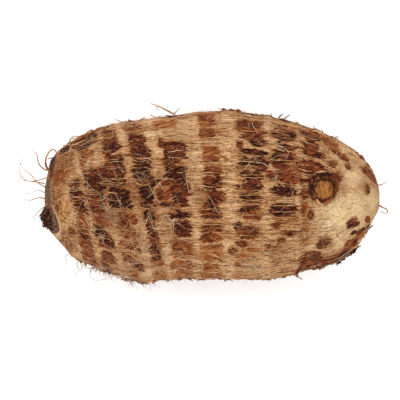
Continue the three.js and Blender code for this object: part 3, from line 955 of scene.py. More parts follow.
def on_skin(station, angle, lift=0.0):
    """A point of the finished skin in mm, raised outwards by lift, and its outward direction."""
    row = np.clip(np.interp(station, stations, np.arange(SKIN_ROWS)), 0, SKIN_ROWS - 1.001)
    turn = (angle - angles[0]) % (2 * math.pi) + angles[0]
    column = np.interp(turn, np.append(angles, angles[0] + 2 * math.pi), np.arange(SKIN_COLUMNS + 1))
    i, j = int(row), int(column)
    u, v = row - i, column - j
    near, far = j % SKIN_COLUMNS, (j + 1) % SKIN_COLUMNS
    weights = ((1 - u) * (1 - v), u * (1 - v), (1 - u) * v, u * v)
    corners = ((i, near), (i + 1, near), (i, far), (i + 1, far))
    point = sum(w * skin_grid[c] for w, c in zip(weights, corners))
    out = Vector(sum(w * outward_grid[c] for w, c in zip(weights, corners))).normalized()
    point = Vector(point) + Vector((0, 0, AXIS_HEIGHT)) + out * lift
    point.z = max(TABLE_CLEARANCE, point.z)
    return point, out


def finish_piece(name, shape, material):
    """Puts a mesh or a curve in the scene, riding on the corm."""
    shape.materials.append(material)
    piece = bpy.data.objects.new(name, shape)
    bpy.context.scene.collection.objects.link(piece)
    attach(piece, "root")
    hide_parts("corm")
    return piece


# Dry husk: papery leaf base, brown to near black, with lengthwise fibres and a dull sheen.
husk_paper, tree = new_material("dry_husk")
fibre_place = add_node(tree, "Attribute", attribute_name="fibre_place").outputs["Vector"]
tone = add_node(tree, "Attribute", attribute_name="tone").outputs["Fac"]
scaled = add_node(tree, "VectorMath", (fibre_place, (5.0, 0.4, 1.0)), operation="DIVIDE")
threads = add_node(tree, "TexNoise", {"Vector": scaled, "Scale": 1, "Detail": 3})
uneven = add_node(tree, "MapRange", (threads, 0.3, 0.7, -0.25, 0.25))
share = add_node(tree, "Math", (tone, uneven), operation="ADD")
shade = add_node(
    tree,
    "ValToRGB",
    (share,),
    stops=((0.0, "#C09A6C"), (0.25, "#8E5428"), (0.5, "#6C3214"), (0.75, "#461A0C"), (1.0, "#220A04")),
)
height = add_node(tree, "Math", (threads, 0.3), operation="MULTIPLY")
bump = add_node(tree, "Bump", {"Height": height, "Strength": 1.0, "Distance": MM})
surface = add_node(
    tree,
    "BsdfPrincipled",
    {"Base Color": shade, "Roughness": 0.7, "Normal": bump, "Specular IOR Level": 0.1},
)
add_node(tree, "OutputMaterial", (surface,))


def add_flake(builder, station, angle, length, width, slant, lift, curl, tone):
    """One lens-shaped flake on the skin. Its free end, toward the crown if lift is below 0, rises."""
    place_layer = builder.verts.layers.float_vector["fibre_place"]
    tone_layer = builder.verts.layers.float["tone"]
    grid = bmesh.ops.create_grid(builder, x_segments=6, y_segments=2, size=1.0)
    reach = max(8.0, float(half_depth(station)))
    for vertex in grid["verts"]:
        u, v = vertex.co.x, vertex.co.y
        half_width = 0.5 * width * max(0.04, 1 - abs(u) ** 2.5)
        along = 0.5 * length * u * math.cos(slant) - v * half_width * math.sin(slant)
        across = 0.5 * length * u * math.sin(slant) + v * half_width * math.cos(slant)
        free = max(0.0, u * math.copysign(1, lift))
        rise = 0.15 + abs(lift) * free**2 + curl * v * v * (0.4 + free)
        vertex[place_layer] = (0.5 * length * u, v * half_width, 9.0 * tone + station)
        vertex[tone_layer] = tone
        vertex.co = on_skin(station + along, angle - across / reach, rise)[0] * MM


def new_flakes():
    """A builder for flat scales of husk, whose points keep their place on the fibre and tone."""
    builder = bmesh.new()
    builder.verts.layers.float_vector.new("fibre_place")
    builder.verts.layers.float.new("tone")
    return builder


def finish_flakes(name, builder):
    """Thickens the flat scales and puts them in the scene as one piece of dry husk."""
    bmesh.ops.recalc_face_normals(builder, faces=builder.faces)
    bmesh.ops.solidify(builder, geom=builder.faces, thickness=FLAKE_THICKNESS * MM)
    mesh = bpy.data.meshes.new(name)
    builder.to_mesh(mesh)
    builder.free()
    finish_piece(name, mesh, husk_paper)


def vein_slant(station):
    """The slant of the husk's veins at a ring, in radians from lengthwise."""
    turns = [np.interp(station + step, *zip(*VEIN_TURNS)) for step in (-VEIN_STEP, VEIN_STEP)]
    return -math.radians(turns[1] - turns[0]) * BODY_RADIUS / (2 * VEIN_STEP)


builder = new_flakes()
chance = random.Random(FLAKE_SEED)
made = 0
while made < FLAKE_COUNT:
    ring_place, ring_half = chance.choice(RINGS)
    station = ring_place + chance.uniform(-0.9, 0.9) * ring_half
    angle = math.radians(chance.triangular(-70, 250, 90))
    row = int(np.interp(station, stations, np.arange(SKIN_ROWS)))
    column = int(np.argmin(np.abs(np.angle(np.exp(1j * (angles - angle))))))
    if husk_depth[row, column] < 0.2:
        continue
    made += 1
    add_flake(
        builder,
        station,
        angle,
        length=chance.uniform(3.5, 9.0),
        width=chance.uniform(0.8, 2.2),
        slant=vein_slant(station) + chance.uniform(-0.22, 0.22),
        lift=chance.choice((-1, 1)) * chance.uniform(0.2, 1.1),
        curl=chance.uniform(-0.2, 0.4),
        tone=min(1.0, max(0.2, husk_dark[row, column] + chance.uniform(-0.25, 0.15))),
    )
finish_flakes("husk_flakes", builder)

# ---------------------------------------------------------------------------
# Torn scraps: bits of husk and skin that hang from the corm's lower edge, and
# from the edges of its rings, where it was pulled out of the ground.
# ---------------------------------------------------------------------------
# Each stretch: stations from and to, degrees from and to, how many, and darkness.
SCRAP_STRETCHES = (
    (-66, -40, 168, 196, 26, 0.55),
    (-91, -64, 174, 205, 40, 0.35),
    (-40, 20, 172, 196, 18, 0.5),
    (20, 60, 170, 200, 16, 0.5),
    (56, 92, 158, 196, 60, 0.9),
    (88, 99, 120, 160, 14, 0.7),
    (10, 22, -6, 8, 14, 0.4),
    (40, 52, 0, 10, 10, 0.75),
    (88, 102, 10, 40, 7, 0.5),
    (-80, 90, 200, 345, 60, 0.6),
)
SCRAP_SEED = 88

builder = new_flakes()
chance = random.Random(SCRAP_SEED)
for first, last, from_degrees, to_degrees, count, dark in SCRAP_STRETCHES:
    for _ in range(count):
        add_flake(
            builder,
            chance.uniform(first, last),
            math.radians(chance.uniform(from_degrees, to_degrees)),
            length=chance.uniform(2.0, 5.0),
            width=chance.uniform(1.4, 3.4),
            slant=chance.uniform(-1.6, 1.6),
            lift=chance.choice((-1, 1)) * chance.uniform(0.2, 1.0),
            curl=chance.uniform(-0.1, 0.5),
            tone=dark + chance.uniform(-0.3, 0.15),
        )
finish_flakes("torn_scraps", builder)

# ---------------------------------------------------------------------------
# Side buds: the resting buds above the leaf scars. The largest has been broken
# out, which leaves a torn dark ring of bud scales round an orange fibrous heart.
# ---------------------------------------------------------------------------
BUD_SEED = 14
SCALELESS_RADIUS = 4  # a bud this small has no standing scales
SCALES_PER_MM = 9  # of a bud's radius past that
SCAR_SIDES = 72
# The section of a scar from its heart out: share of the way, and height over radius.
SCAR_SECTION = (
    (0.0, 0.14),
    (0.1, 0.15),
    (0.2, 0.14),
    (0.3, 0.11),
    (0.4, 0.08),
    (0.48, 0.02),
    (0.54, -0.12),
    (0.62, -0.18),
    (0.7, -0.12),
    (0.78, 0.04),
    (0.86, 0.13),
    (0.94, 0.1),
    (1.0, 0.03),
    (1.1, -0.06),
    (1.2, -0.2),
)


def scar_frame(station, angle, raised=0.0):
    """A place on the skin with z outwards and x along the corm, in mm."""
    base, out = on_skin(station, angle)
    side = out.cross(Vector((1, 0, 0))).normalized()
    turned = Matrix((side.cross(out), side, out)).transposed().to_4x4()
    return Matrix.Translation(base + out * raised) @ turned


def scar_mesh(name, frame, radius, narrow, heart, lopsided, torn, seed):
    """A round scar on the skin: a heart, a dark trough round it and a torn rim."""
    builder = bmesh.new()
    profile = [builder.verts.new((share, 0, 0)) for share, _ in SCAR_SECTION]
    edges = [builder.edges.new(pair) for pair in zip(profile, profile[1:])]
    bmesh.ops.spin(
        builder,
        geom=profile + edges,
        cent=(0, 0, 0),
        axis=(0, 0, 1),
        angle=2 * math.pi,
        steps=SCAR_SIDES,
        use_merge=True,
    )
    bmesh.ops.remove_doubles(builder, verts=builder.verts, dist=0.0001)
    bmesh.ops.recalc_face_normals(builder, faces=builder.faces)
    if sum(face.normal.z for face in builder.faces) < 0:
        bmesh.ops.reverse_faces(builder, faces=builder.faces)
    shares, rises = zip(*SCAR_SECTION)
    layer = builder.verts.layers.float_vector.new("scar_place")
    for vertex in builder.verts:
        share = math.hypot(vertex.co.x, vertex.co.y)
        turn = math.atan2(vertex.co.y, vertex.co.x)
        reach = heart - lopsided * math.sin(turn - 0.5)
        if share < reach:
            own = 0.5 * share / reach
        else:
            own = share if share > 1 else 0.5 + 0.5 * (share - reach) / (1 - reach)
        start = Vector((0, 0, seed))
        ragged = noise.noise(2.5 * vertex.co + start) + 0.8 * noise.noise(8 * vertex.co + start)
        own += 0.3 * torn * ragged * min(1.0, 3 * share)
        spread = 1 + 0.4 * torn * noise.noise(Vector((math.cos(turn), math.sin(turn), seed)))
        vertex[layer] = (own, turn, seed)
        vertex.co.z = np.interp(own, shares, rises) + 0.4 * torn * ragged * min(1.0, 2 * share)
        vertex.co.x *= spread * narrow
        vertex.co.y *= spread
    onto_skin = Matrix.Scale(MM, 4) @ frame @ Matrix.Scale(radius, 4)
    bmesh.ops.transform(builder, matrix=onto_skin, verts=builder.verts)
    for face in builder.faces:
        face.smooth = True
    mesh = bpy.data.meshes.new(name)
    builder.to_mesh(mesh)
    builder.free()
    return mesh


# Bud scales: dry brown papery leaves torn across, dark and dull, with pale corky lips.
bud_scales, tree = new_material("torn_bud_scales")
place = add_node(tree, "Attribute", attribute_name="scar_place").outputs["Vector"]
apart = add_node(tree, "SeparateXYZ", (place,))
where = add_node(tree, "TexCoord").outputs["Object"]
fibres = add_node(tree, "VectorMath", (where, (0.9 * MM, 3.5 * MM, 3.5 * MM)), operation="DIVIDE")
threads = add_node(tree, "TexNoise", {"Vector": fibres, "Scale": 1, "Detail": 3})
crumb = add_node(tree, "TexNoise", {"Vector": where, "Scale": 900, "Detail": 3})
uneven = add_node(tree, "MapRange", (crumb, 0.3, 0.7, -0.14, 0.14))
share = add_node(tree, "Math", (apart, uneven), operation="ADD")
patch = add_node(tree, "TexNoise", {"Vector": where, "Scale": 330, "Detail": 2})
uneven = add_node(tree, "MapRange", (patch, 0.3, 0.7, -0.16, 0.16))
share = add_node(tree, "Math", (share, uneven), operation="ADD")
shade = add_node(
    tree,
    "ValToRGB",
    (share,),
    stops=(
        (0.0, "#8E5A2A"),
        (0.2, "#A06A34"),
        (0.42, "#8C5A2C"),
        (0.52, "#6E3C1C"),
        (0.62, "#452312"),
        (0.76, "#5E341A"),
        (0.9, "#6A4226"),
        (1.0, "#8E6640"),
    ),
)
thread_shade = add_node(
    tree, "ValToRGB", (threads,), stops=((0.38, "#7A5638"), (0.46, "#D8BC98"), (0.56, "#FFFFFF"))
)
shade = add_node(tree, "Mix", (0.6, shade, thread_shade), data_type="RGBA", blend_type="MULTIPLY")
height = add_node(tree, "Math", (crumb, 0.5), operation="MULTIPLY")
height = add_node(tree, "Math", (threads, 0.5, height), operation="MULTIPLY_ADD")
bump = add_node(tree, "Bump", {"Height": height, "Strength": 1.0, "Distance": MM})
surface = add_node(
    tree,
    "BsdfPrincipled",
    {"Base Color": shade, "Roughness": 0.85, "Normal": bump, "Specular IOR Level": 0.2},
)
add_node(tree, "OutputMaterial", (surface,))

# Healed cork in the scars: brown and matt, with a paler raised edge.
healed_cork, tree = new_material("healed_cork")
place = add_node(tree, "Attribute", attribute_name="scar_place").outputs["Vector"]
apart = add_node(tree, "SeparateXYZ", (place,))
where = add_node(tree, "TexCoord").outputs["Object"]
crumb = add_node(tree, "TexNoise", {"Vector": where, "Scale": 700, "Detail": 3})
uneven = add_node(tree, "MapRange", (crumb, 0.3, 0.7, -0.3, 0.3))
share = add_node(tree, "Math", (apart, uneven), operation="ADD")
shade = add_node(
    tree,
    "ValToRGB",
    (share,),
    stops=((0.0, "#784824"), (0.45, "#623618"), (0.62, "#402010"), (0.8, "#683E1E"), (1.0, "#8C6038")),
)
bump = add_node(tree, "Bump", {"Height": crumb, "Strength": 0.5, "Distance": MM})
surface = add_node(
    tree,
    "BsdfPrincipled",
    {"Base Color": shade, "Roughness": 0.85, "Normal": bump, "Specular IOR Level": 0.1},
)
add_node(tree, "OutputMaterial", (surface,))

# How wide each bud is beside its length, its heart's reach, and how far that is off middle.
BUD_SHAPES = ((0.9, 0.76, 0.15), (1.0, 0.5, 0.05), (0.9, 0.5, 0.1), (0.8, 0.5, 0.1), (1.0, 0.5, 0.0))
# The largest bud's standing scales: x and y from its middle, length and width, all over
# its radius, then slant in degrees, lift in mm and darkness.
STANDING_SCALES = (
    (-0.2, 1.0, 1.1, 0.16, 20, 0.9, 0.12),
    (0.15, 0.86, 1.0, 0.2, 8, 1.6, 1.1),
    (-0.45, 0.8, 0.8, 0.22, 35, 1.3, 1.0),
    (-0.78, 0.35, 1.0, 0.3, 75, 1.3, 0.95),
    (-0.86, -0.1, 1.0, 0.22, 95, 1.0, 0.85),
    (-0.62, 0.1, 0.9, 0.18, 85, 0.9, 1.1),
    (-0.62, -0.55, 0.6, 0.2, 130, 0.6, 0.8),
    (-0.2, -1.0, 0.8, 0.14, -30, 0.6, 0.15),
    (-0.3, -0.86, 0.7, 0.12, -30, 0.5, 0.95),
    (0.95, 0.8, 0.9, 0.4, -45, 0.6, 0.62),
    (0.75, 0.6, 0.8, 0.3, -50, 1.0, 0.75),
    (0.9, 0.25, 0.9, 0.24, -80, 0.8, 0.6),
    (0.72, -0.2, 0.8, 0.14, -105, 0.5, 0.7),
    (0.4, -0.75, 0.8, 0.14, 35, 0.4, 0.5),
)


def add_scale(builder, frame, radius, x, y, length, width, slant, lift, tone):
    """A bent torn scale standing on a bud, its place and size over the bud's radius."""
    place_layer = builder.verts.layers.float_vector["fibre_place"]
    tone_layer = builder.verts.layers.float["tone"]
    grid = bmesh.ops.create_grid(builder, x_segments=7, y_segments=2, size=1.0)
    turned = Matrix.Rotation(math.radians(slant), 2)
    for vertex in grid["verts"]:
        u, v = vertex.co.x, vertex.co.y
        ragged = 1 + 0.5 * noise.noise(Vector((2.5 * u, v, 7 * x + 3 * y)))
        half_width = 0.5 * width * max(0.08, 1 - abs(u) ** 3) * ragged
        bow = -0.12 * length * (1 - u * u)
        place = Vector((x, y)) + turned @ Vector((0.5 * length * u, v * half_width))
        place -= Vector((x, y)).normalized() * bow
        rise = np.interp(place.length, *zip(*SCAR_SECTION)) * radius
        vertex[place_layer] = (0.5 * length * u * radius, v * half_width * radius, 9 * x + y)
        vertex[tone_layer] = tone
        standing = lift * (0.5 + 0.5 * v) * ragged + 0.15
        vertex.co = frame @ Vector((*(place * radius), rise + standing)) * MM


builder = new_flakes()
chance = random.Random(BUD_SEED)
for number, ((station, degrees, radius), shape) in enumerate(zip(BUDS, BUD_SHAPES), 1):
    name = f"side_bud_{number}"
    frame = scar_frame(station, math.radians(degrees), BUD_SINK * radius)
    bud = scar_mesh(name, frame, radius, *shape, 0.6, 1.7 * number)
    finish_piece(name, bud, bud_scales if number == 1 else healed_cork)
    if number == 1:
        for scale in STANDING_SCALES:
            add_scale(builder, frame, radius, *scale)
    for _ in range(int(SCALES_PER_MM * (radius - SCALELESS_RADIUS))):
        turn = chance.uniform(-180, 180)
        out = chance.uniform(shape[1] + 0.05, 1.0)
        x, y = (out * math.cos(math.radians(turn)), out * math.sin(math.radians(turn)))
        length = chance.uniform(0.2, 0.5)
        width = chance.uniform(0.06, 0.16)
        slant = turn + 90 + chance.gauss(0, 25)
        tone = chance.choice((0.4, 0.65, 0.85, 1.0))
        add_scale(
            builder, frame, radius, x, y, length, width, slant, chance.uniform(0.2, 0.8), tone
        )
finish_flakes("bud_scales", builder)

# ---------------------------------------------------------------------------
# Rootlet scars: small rings where feeding roots broke off, flush with the skin.
# ---------------------------------------------------------------------------
SCAR_SEED = 5
UNSEEN_SCARS = 14
SCAR_RAISED = 0.18  # over its radius, so that its trough clears the skin
# Each: middle x and y on the upper side, radius in mm, narrowness and heart's reach.
ROOTLET_SCARS = (
    (45.3, -26.4, 3.0, 1.0, 0.5),
    (62.5, -10.5, 3.3, 0.7, 0.5),
    (96.6, 4.6, 3.2, 0.75, 0.5),
    (-79.2, -20, 3.0, 1.0, 0.45),
    (-87.6, -6, 2.6, 0.5, 0.3),
    (16.5, -31.8, 2.8, 1.0, 0.6),
    (97.5, 18.5, 2.4, 0.8, 0.4),
    (-57, 36, 2.6, 1.0, 0.5),
)


def under_view(x, y):
    """The station and angle of the skin's upper side at x and y, in mm."""
    station = x
    angle = angle_seen_at(x, y)
    for _ in range(4):
        point = on_skin(station, angle)[0]
        station += x - point.x
        reach = max(8.0, float(half_depth(station)))
        angle += (point.y - y) / max(0.3 * reach, reach * math.sin(angle))
        angle = min(math.pi, max(0.0, angle))
    return station, angle


builder = bmesh.new()
places = [(*under_view(x, y), *shape) for x, y, *shape in ROOTLET_SCARS]
chance = random.Random(SCAR_SEED)
for _ in range(UNSEEN_SCARS):
    station = chance.uniform(-70, 85)
    angle = math.radians(chance.uniform(190, 350))
    places.append((station, angle, chance.uniform(1.8, 3.2), chance.uniform(0.7, 1.0), 0.5))
for number, (station, angle, radius, narrow, heart) in enumerate(places):
    frame = scar_frame(station, angle, SCAR_RAISED * radius)
    scar = scar_mesh("scar", frame, radius, narrow, heart, 0.0, 0.35, 2.3 * number + 0.4)
    builder.from_mesh(scar)
    bpy.data.meshes.remove(scar)
scars_mesh = bpy.data.meshes.new("rootlet_scars")
builder.to_mesh(scars_mesh)
builder.free()
finish_piece("rootlet_scars", scars_mesh, healed_cork)

# ---------------------------------------------------------------------------
# Skin strands: ribs of cork left standing where husk tore away between them.
# They run lengthwise over the dark rings, half a millimetre thick.
# ---------------------------------------------------------------------------
STRAND_COUNT = 240
STRAND_SEED = 77
STRAND_RADIUS = 0.27


def new_threads(name, radius):
    """A curve for many threads of one kind, four-sided, its radius in mm."""
    threads = bpy.data.curves.new(name, "CURVE")
    threads.dimensions = "3D"
    threads.bevel_depth = radius * MM
    threads.bevel_resolution = 0
    threads.use_fill_caps = True
    threads.resolution_u = 3
    return threads


def add_thread(threads, points, taper=0.3, thickness=1.0):
    """A smooth thread through points in mm, thinning to a share of its thickness at the end."""
    spline = threads.splines.new("BEZIER")
    spline.bezier_points.add(len(points) - 1)
    for number, (knot, point) in enumerate(zip(spline.bezier_points, points)):
        knot.co = Vector(point) * MM
        knot.handle_left_type = "AUTO"
        knot.handle_right_type = "AUTO"
        knot.radius = thickness * (1 - (1 - taper) * number / (len(points) - 1))


def patchy_fibre(name, patch, stops, detail, roughness, shine):
    """A dry fibre's material, whose colour drifts in patches of about a size in mm."""
    material, tree = new_material(name)
    where = add_node(tree, "TexCoord").outputs["Object"]
    patchy = add_node(
        tree, "TexNoise", {"Vector": where, "Scale": 1 / (patch * MM), "Detail": detail}
    )
    shade = add_node(tree, "ValToRGB", (patchy,), stops=stops)
    surface = add_node(
        tree,
        "BsdfPrincipled",
        {"Base Color": shade, "Roughness": roughness, "Specular IOR Level": shine},
    )
    add_node(tree, "OutputMaterial", (surface,))
    return material


# Cork ribs: the same dry tan skin, a little paler where it stands proud.
cork_rib = patchy_fibre(
    "taro_cork_rib",
    6.25,
    stops=((0.35, "#7E4A28"), (0.5, "#B08050"), (0.65, "#D2AC7E")),
    detail=3,
    roughness=0.85,
    shine=0.2,
)

strands = new_threads("skin_strands", STRAND_RADIUS)
chance = random.Random(STRAND_SEED)
for _ in range(STRAND_COUNT):
    ring_place, ring_half = chance.choice(RINGS)
    angle = math.radians(chance.triangular(-60, 240, 90))
    length = chance.uniform(0.8, 1.5) * 2 * ring_half
    start = ring_place + chance.uniform(-0.3, 0.3) * ring_half - length / 2
    bend = chance.uniform(-1.2, 1.2)
    reach = max(10.0, float(half_depth(ring_place)))
    points = []
    for step in range(6):
        share = step / 5
        sway = bend * math.sin(math.pi * share) + chance.uniform(-0.35, 0.35)
        lift = 0.1 + 0.4 * math.sin(math.pi * share)
        points.append(on_skin(start + share * length, angle - sway / reach, lift)[0])
    add_thread(strands, points, taper=0.5, thickness=chance.uniform(0.5, 1.1))
finish_piece("skin_strands", strands, cork_rib)

# ---------------------------------------------------------------------------
# Creases: long dark cracks where the cork dried and split lengthwise.
# ---------------------------------------------------------------------------
CREASE_COUNT = 200
CREASE_SEED = 23
CREASE_RADIUS = 0.2
MAIN_CREASE = (
    (9.5, -2.8),
    (16, -3.3),
    (22.5, -3.9),
    (27, -5.4),
    (34, -4.6),
    (38, -1.8),
    (49, -1.6),
    (63, -0.6),
)

# Split cork: dark and dull down in the crack.
crack_bark = patchy_fibre(
    "split_cork",
    5,
    stops=((0.35, "#4A2814"), (0.65, "#8A5A34")),
    detail=2,
    roughness=0.9,
    shine=0.1,
)

creases = new_threads("creases", CREASE_RADIUS)
main = [on_skin(*under_view(x, y), 0.05)[0] for x, y in MAIN_CREASE]
add_thread(creases, main, taper=0.6, thickness=1.3)
chance = random.Random(CREASE_SEED)
for _ in range(CREASE_COUNT):
    start = chance.uniform(-84, 70)
    length = chance.uniform(7, 26)
    angle = math.radians(chance.triangular(-60, 240, 90))
    points = []
    for step in range(6):
        station = start + length * step / 5
        angle += chance.uniform(-0.7, 0.7) / max(10.0, float(half_depth(station)))
        points.append(on_skin(station, angle, 0.03)[0])
    add_thread(creases, points, taper=0.4, thickness=chance.uniform(0.5, 1.1))
finish_piece("creases", creases, crack_bark)

# ---------------------------------------------------------------------------
# Cut crown: the stub of the last leaf stalks, left when the tops were cut off.
# Its strands dried dark and frayed along the lower side of the cut.
# ---------------------------------------------------------------------------
FRAY_COUNT = 70
SHEATH_COUNT = 46
FRAY_SEED = 9
FRAY_RADIUS = 0.35

# Dried stalk strands: woody, near black, dull.
stalk_strand = patchy_fibre(
    "dried_stalk_strand",
    3.333,
    stops=((0.35, "#24120C"), (0.5, "#4A2A1A"), (0.65, "#8A5C38")),
    detail=2,
    roughness=0.8,
    shine=0.2,
)


def on_cut(y, z):
    """The point of the cut face at y and z from its middle, in mm."""
    across, up = (
        math.copysign(abs(place / half) ** (1 / CUT_SQUARENESS), place)
        for place, half in zip((y, z), CUT_HALF)
    )
    share = min(1.0, math.hypot(across, up) ** CUT_SQUARENESS)
    return Vector(cut_face(share, math.atan2(up, across))) + Vector((0, 0, AXIS_HEIGHT))


fray = new_threads("crown_fray", FRAY_RADIUS)
chance = random.Random(FRAY_SEED)
for _ in range(FRAY_COUNT):
    y = chance.gauss(STUB[0] - 1, 0.55 * STUB[3])
    z = chance.gauss(STUB[1] + 4, 0.8 * STUB[3])
    start = on_cut(y, z) + Vector((0.5, 0, 0))
    reach = chance.uniform(0.8, 2.6)
    away = Vector((-1, 0.04 * y, 0.04 * z))
    away += Vector([chance.uniform(-0.6, 0.6) for _ in range(3)])
    middle = start + away.normalized() * reach * 0.5
    tip = start + away.normalized() * reach + Vector([chance.uniform(-0.8, 0.8) for _ in range(3)])
    add_thread(fray, (start, middle, tip), taper=0.3, thickness=chance.uniform(0.6, 1.6))
finish_piece("crown_fray", fray, stalk_strand)

# The torn sheaths round them: stiff upright scales, brown-black, a little paler toward their free ends.
builder = new_flakes()
place_layer = builder.verts.layers.float_vector["fibre_place"]
tone_layer = builder.verts.layers.float["tone"]
chance = random.Random(FRAY_SEED + 1)
for _ in range(SHEATH_COUNT):
    y = chance.gauss(STUB[0] - 1, 0.5 * STUB[3])
    z = chance.gauss(STUB[1] + 4, 0.8 * STUB[3])
    start = on_cut(y, z) + Vector((1.0, 0, 0))
    turn = math.atan2(z, y)
    round_it = Vector((0, -math.sin(turn), math.cos(turn)))
    away = Vector((-1, 0.4 * math.cos(turn), 0.4 * math.sin(turn)))
    away = (away + Vector([chance.uniform(-0.3, 0.3) for _ in range(3)])).normalized()
    cup = away.cross(round_it)
    length = chance.uniform(1.6, 3.4)
    width = chance.uniform(2.0, 4.4)
    tone = chance.choice((0.75, 0.95, 1.1, 1.2))
    grid = bmesh.ops.create_grid(builder, x_segments=4, y_segments=2, size=1.0)
    for vertex in grid["verts"]:
        u, v = 0.5 + 0.5 * vertex.co.x, vertex.co.y
        ragged = 1 - 0.3 * v * v + 0.25 * noise.noise(Vector((3 * u, 2 * v, start.y)))
        half_width = 0.5 * width * (1 - 0.55 * u)
        vertex[place_layer] = (u * length, v * half_width, start.y)
        vertex[tone_layer] = tone - 0.15 * u
        arch = 0.9 * (v * v) * half_width * 0.5
        point = start + away * (u * length * ragged) + round_it * (v * half_width) - cup * arch
        vertex.co = point * MM
finish_flakes("stalk_sheaths", builder)

# ---------------------------------------------------------------------------
# Rootlets: dried feeding roots, brown and springy, a millimetre thick where
# they leave the skin. Most spring from the crown, some in loops.
# ---------------------------------------------------------------------------
ROOTLET_RADIUS = 0.55
FRINGE_COUNT = 90
UNDER_ROOTLETS = 46
UNDER_STATIONS = (-88, -70, -58, -43, -24, -5, 16, 37, 54, 68, 80)
ROOTLET_SEED = 31
# Each is its thickness beside a plain rootlet's, then points from root to tip, in mm.
ROOTLETS = (
    (1.3, (-93, 15, 55), (-95.5, 20, 58), (-94, 26, 58), (-90.5, 28.5, 56), (-89, 25, 55), (-90.5, 21, 56)),
    (1.1, (-93, 16, 52), (-97, 17, 53), (-100, 21, 54), (-101, 26, 56), (-104, 27.5, 57)),
    (0.7, (-96, 8, 56), (-101, 9, 58), (-107, 10, 58), (-110.5, 14, 58), (-110, 21, 58), (-106, 25.5, 58)),
    (0.7, (-94, 12, 56), (-100, 10, 57), (-106, 9.5, 58), (-110, 11, 58), (-112, 16, 57)),
    (0.8, (-95, -1, 56), (-100, -0.5, 57), (-105, -2, 57), (-109.5, -1, 57)),
    (0.6, (-95, 2, 54), (-100, 4, 55), (-106, 2, 55), (-109, 3.5, 55)),
    (0.6, (-94, -4, 52), (-99, -8, 52), (-103, -12, 52), (-106, -13, 52)),
    (0.7, (-96, 6, 50), (-101, 9, 49), (-105, 14, 49), (-108, 16, 49), (-112, 22, 50)),
    (0.9, (-82, 31.5, 50), (-80, 35.5, 51), (-77, 36.5, 51), (-73, 35.5, 50)),
    (1.1, (-18, 49.5, 48), (-23, 52, 49), (-28, 54.5, 50), (-32.5, 56, 51)),
    (0.7, (-19, 49.5, 48), (-17, 51.5, 48), (-15, 53.5, 49)),
    (0.6, (-28, 54.5, 50), (-29, 53, 50), (-27, 52, 50)),
    (1.0, (101, -3, 52), (106, -6, 53), (109.5, -8.5, 53), (108.5, -9.8, 53), (105, -8.3, 53)),
    (0.8, (102, 7, 50), (106, 7.5, 50), (109, 9, 50)),
    (1.1, (44, 46.5, 50), (45, 48.5, 51), (47, 50, 52)),
    (1.1, (46, 46, 49), (49, 48, 50), (51, 49.5, 51)),
    (0.5, (-74, -36, 47), (-77, -41, 44), (-75.5, -44, 43), (-78, -46.5, 42), (-76.5, -48, 42)),
    (0.4, (-66, -40, 45), (-69, -45, 43), (-68, -49, 42), (-62, -49.8, 41), (-57, -48.5, 41)),
    (0.4, (-80, -33, 46), (-84, -36.5, 44), (-83, -40, 43), (-86, -42, 42)),
    (1.5, (51, -44, 45), (54, -46.5, 44), (58.5, -49.5, 43)),
)

# Dried rootlets: woody skin over a wiry core, orange-brown, greyer where dusty.
rootlet_skin = patchy_fibre(
    "dried_rootlet",
    8.333,
    stops=((0.35, "#6A4024"), (0.5, "#A07040"), (0.65, "#A89484")),
    detail=3,
    roughness=0.75,
    shine=0.25,
)


def add_wander(threads, chance, station, angle, length, heading, rise, thickness):
    """A hair that wanders over the skin from one place, and rises at its tip."""
    points = []
    steps = 5
    for step in range(steps):
        lift = 0.3 + rise * (step / (steps - 1)) ** 1.5 + chance.uniform(0, 0.3)
        points.append(on_skin(station, angle, lift)[0])
        heading += chance.uniform(-0.6, 0.6)
        station += math.cos(heading) * length / steps
        angle += math.sin(heading) * length / steps / max(8.0, float(half_depth(station)))
    add_thread(threads, points, taper=0.5, thickness=thickness)


rootlets = new_threads("rootlets", ROOTLET_RADIUS)
rootlets.bevel_resolution = 1
for thickness, *points in ROOTLETS:
    add_thread(rootlets, points, taper=0.35, thickness=thickness)
chance = random.Random(ROOTLET_SEED)
for _ in range(UNDER_ROOTLETS):
    station = chance.choice(UNDER_STATIONS) + chance.uniform(-3, 3)
    angle = math.radians(chance.uniform(185, 355))
    reach = max(10.0, float(half_depth(station)))
    bend = chance.uniform(-1, 1)
    length = chance.uniform(3, 8)
    points = []
    for step in range(4):
        share = step / 3
        along = station - share * length * 0.7
        points.append(on_skin(along, angle + bend * share**2 * length / reach, 3.0 * share - 0.4)[0])
    add_thread(rootlets, points, taper=0.4, thickness=chance.uniform(0.5, 1.1))
# The finest ones make a fringe along the lower side of the crown.
for _ in range(FRINGE_COUNT):
    station = chance.triangular(-91, -35, -75)
    angle = math.radians(chance.uniform(160, 215))
    length = chance.uniform(4, 11)
    heading = chance.uniform(0, 2 * math.pi)
    rise = chance.uniform(1.0, 5.0)
    add_wander(rootlets, chance, station, angle, length, heading, rise, chance.uniform(0.2, 0.4))
finish_piece("rootlets", rootlets, rootlet_skin)

# ---------------------------------------------------------------------------
# Root hairs: fine pale hairs tangled over the skin, densest toward the crown,
# and short fuzz that stands out all round.
# ---------------------------------------------------------------------------
HAIR_RADIUS = 0.14
FUZZ_COUNT = 900
TANGLE_COUNT = 460
LOWER_TANGLE_COUNT = 80
HAIR_SEED = 64
HAIR_CLEARANCE = 0.2  # mm above the table, the lowest for the middle and tip of a fuzz hair
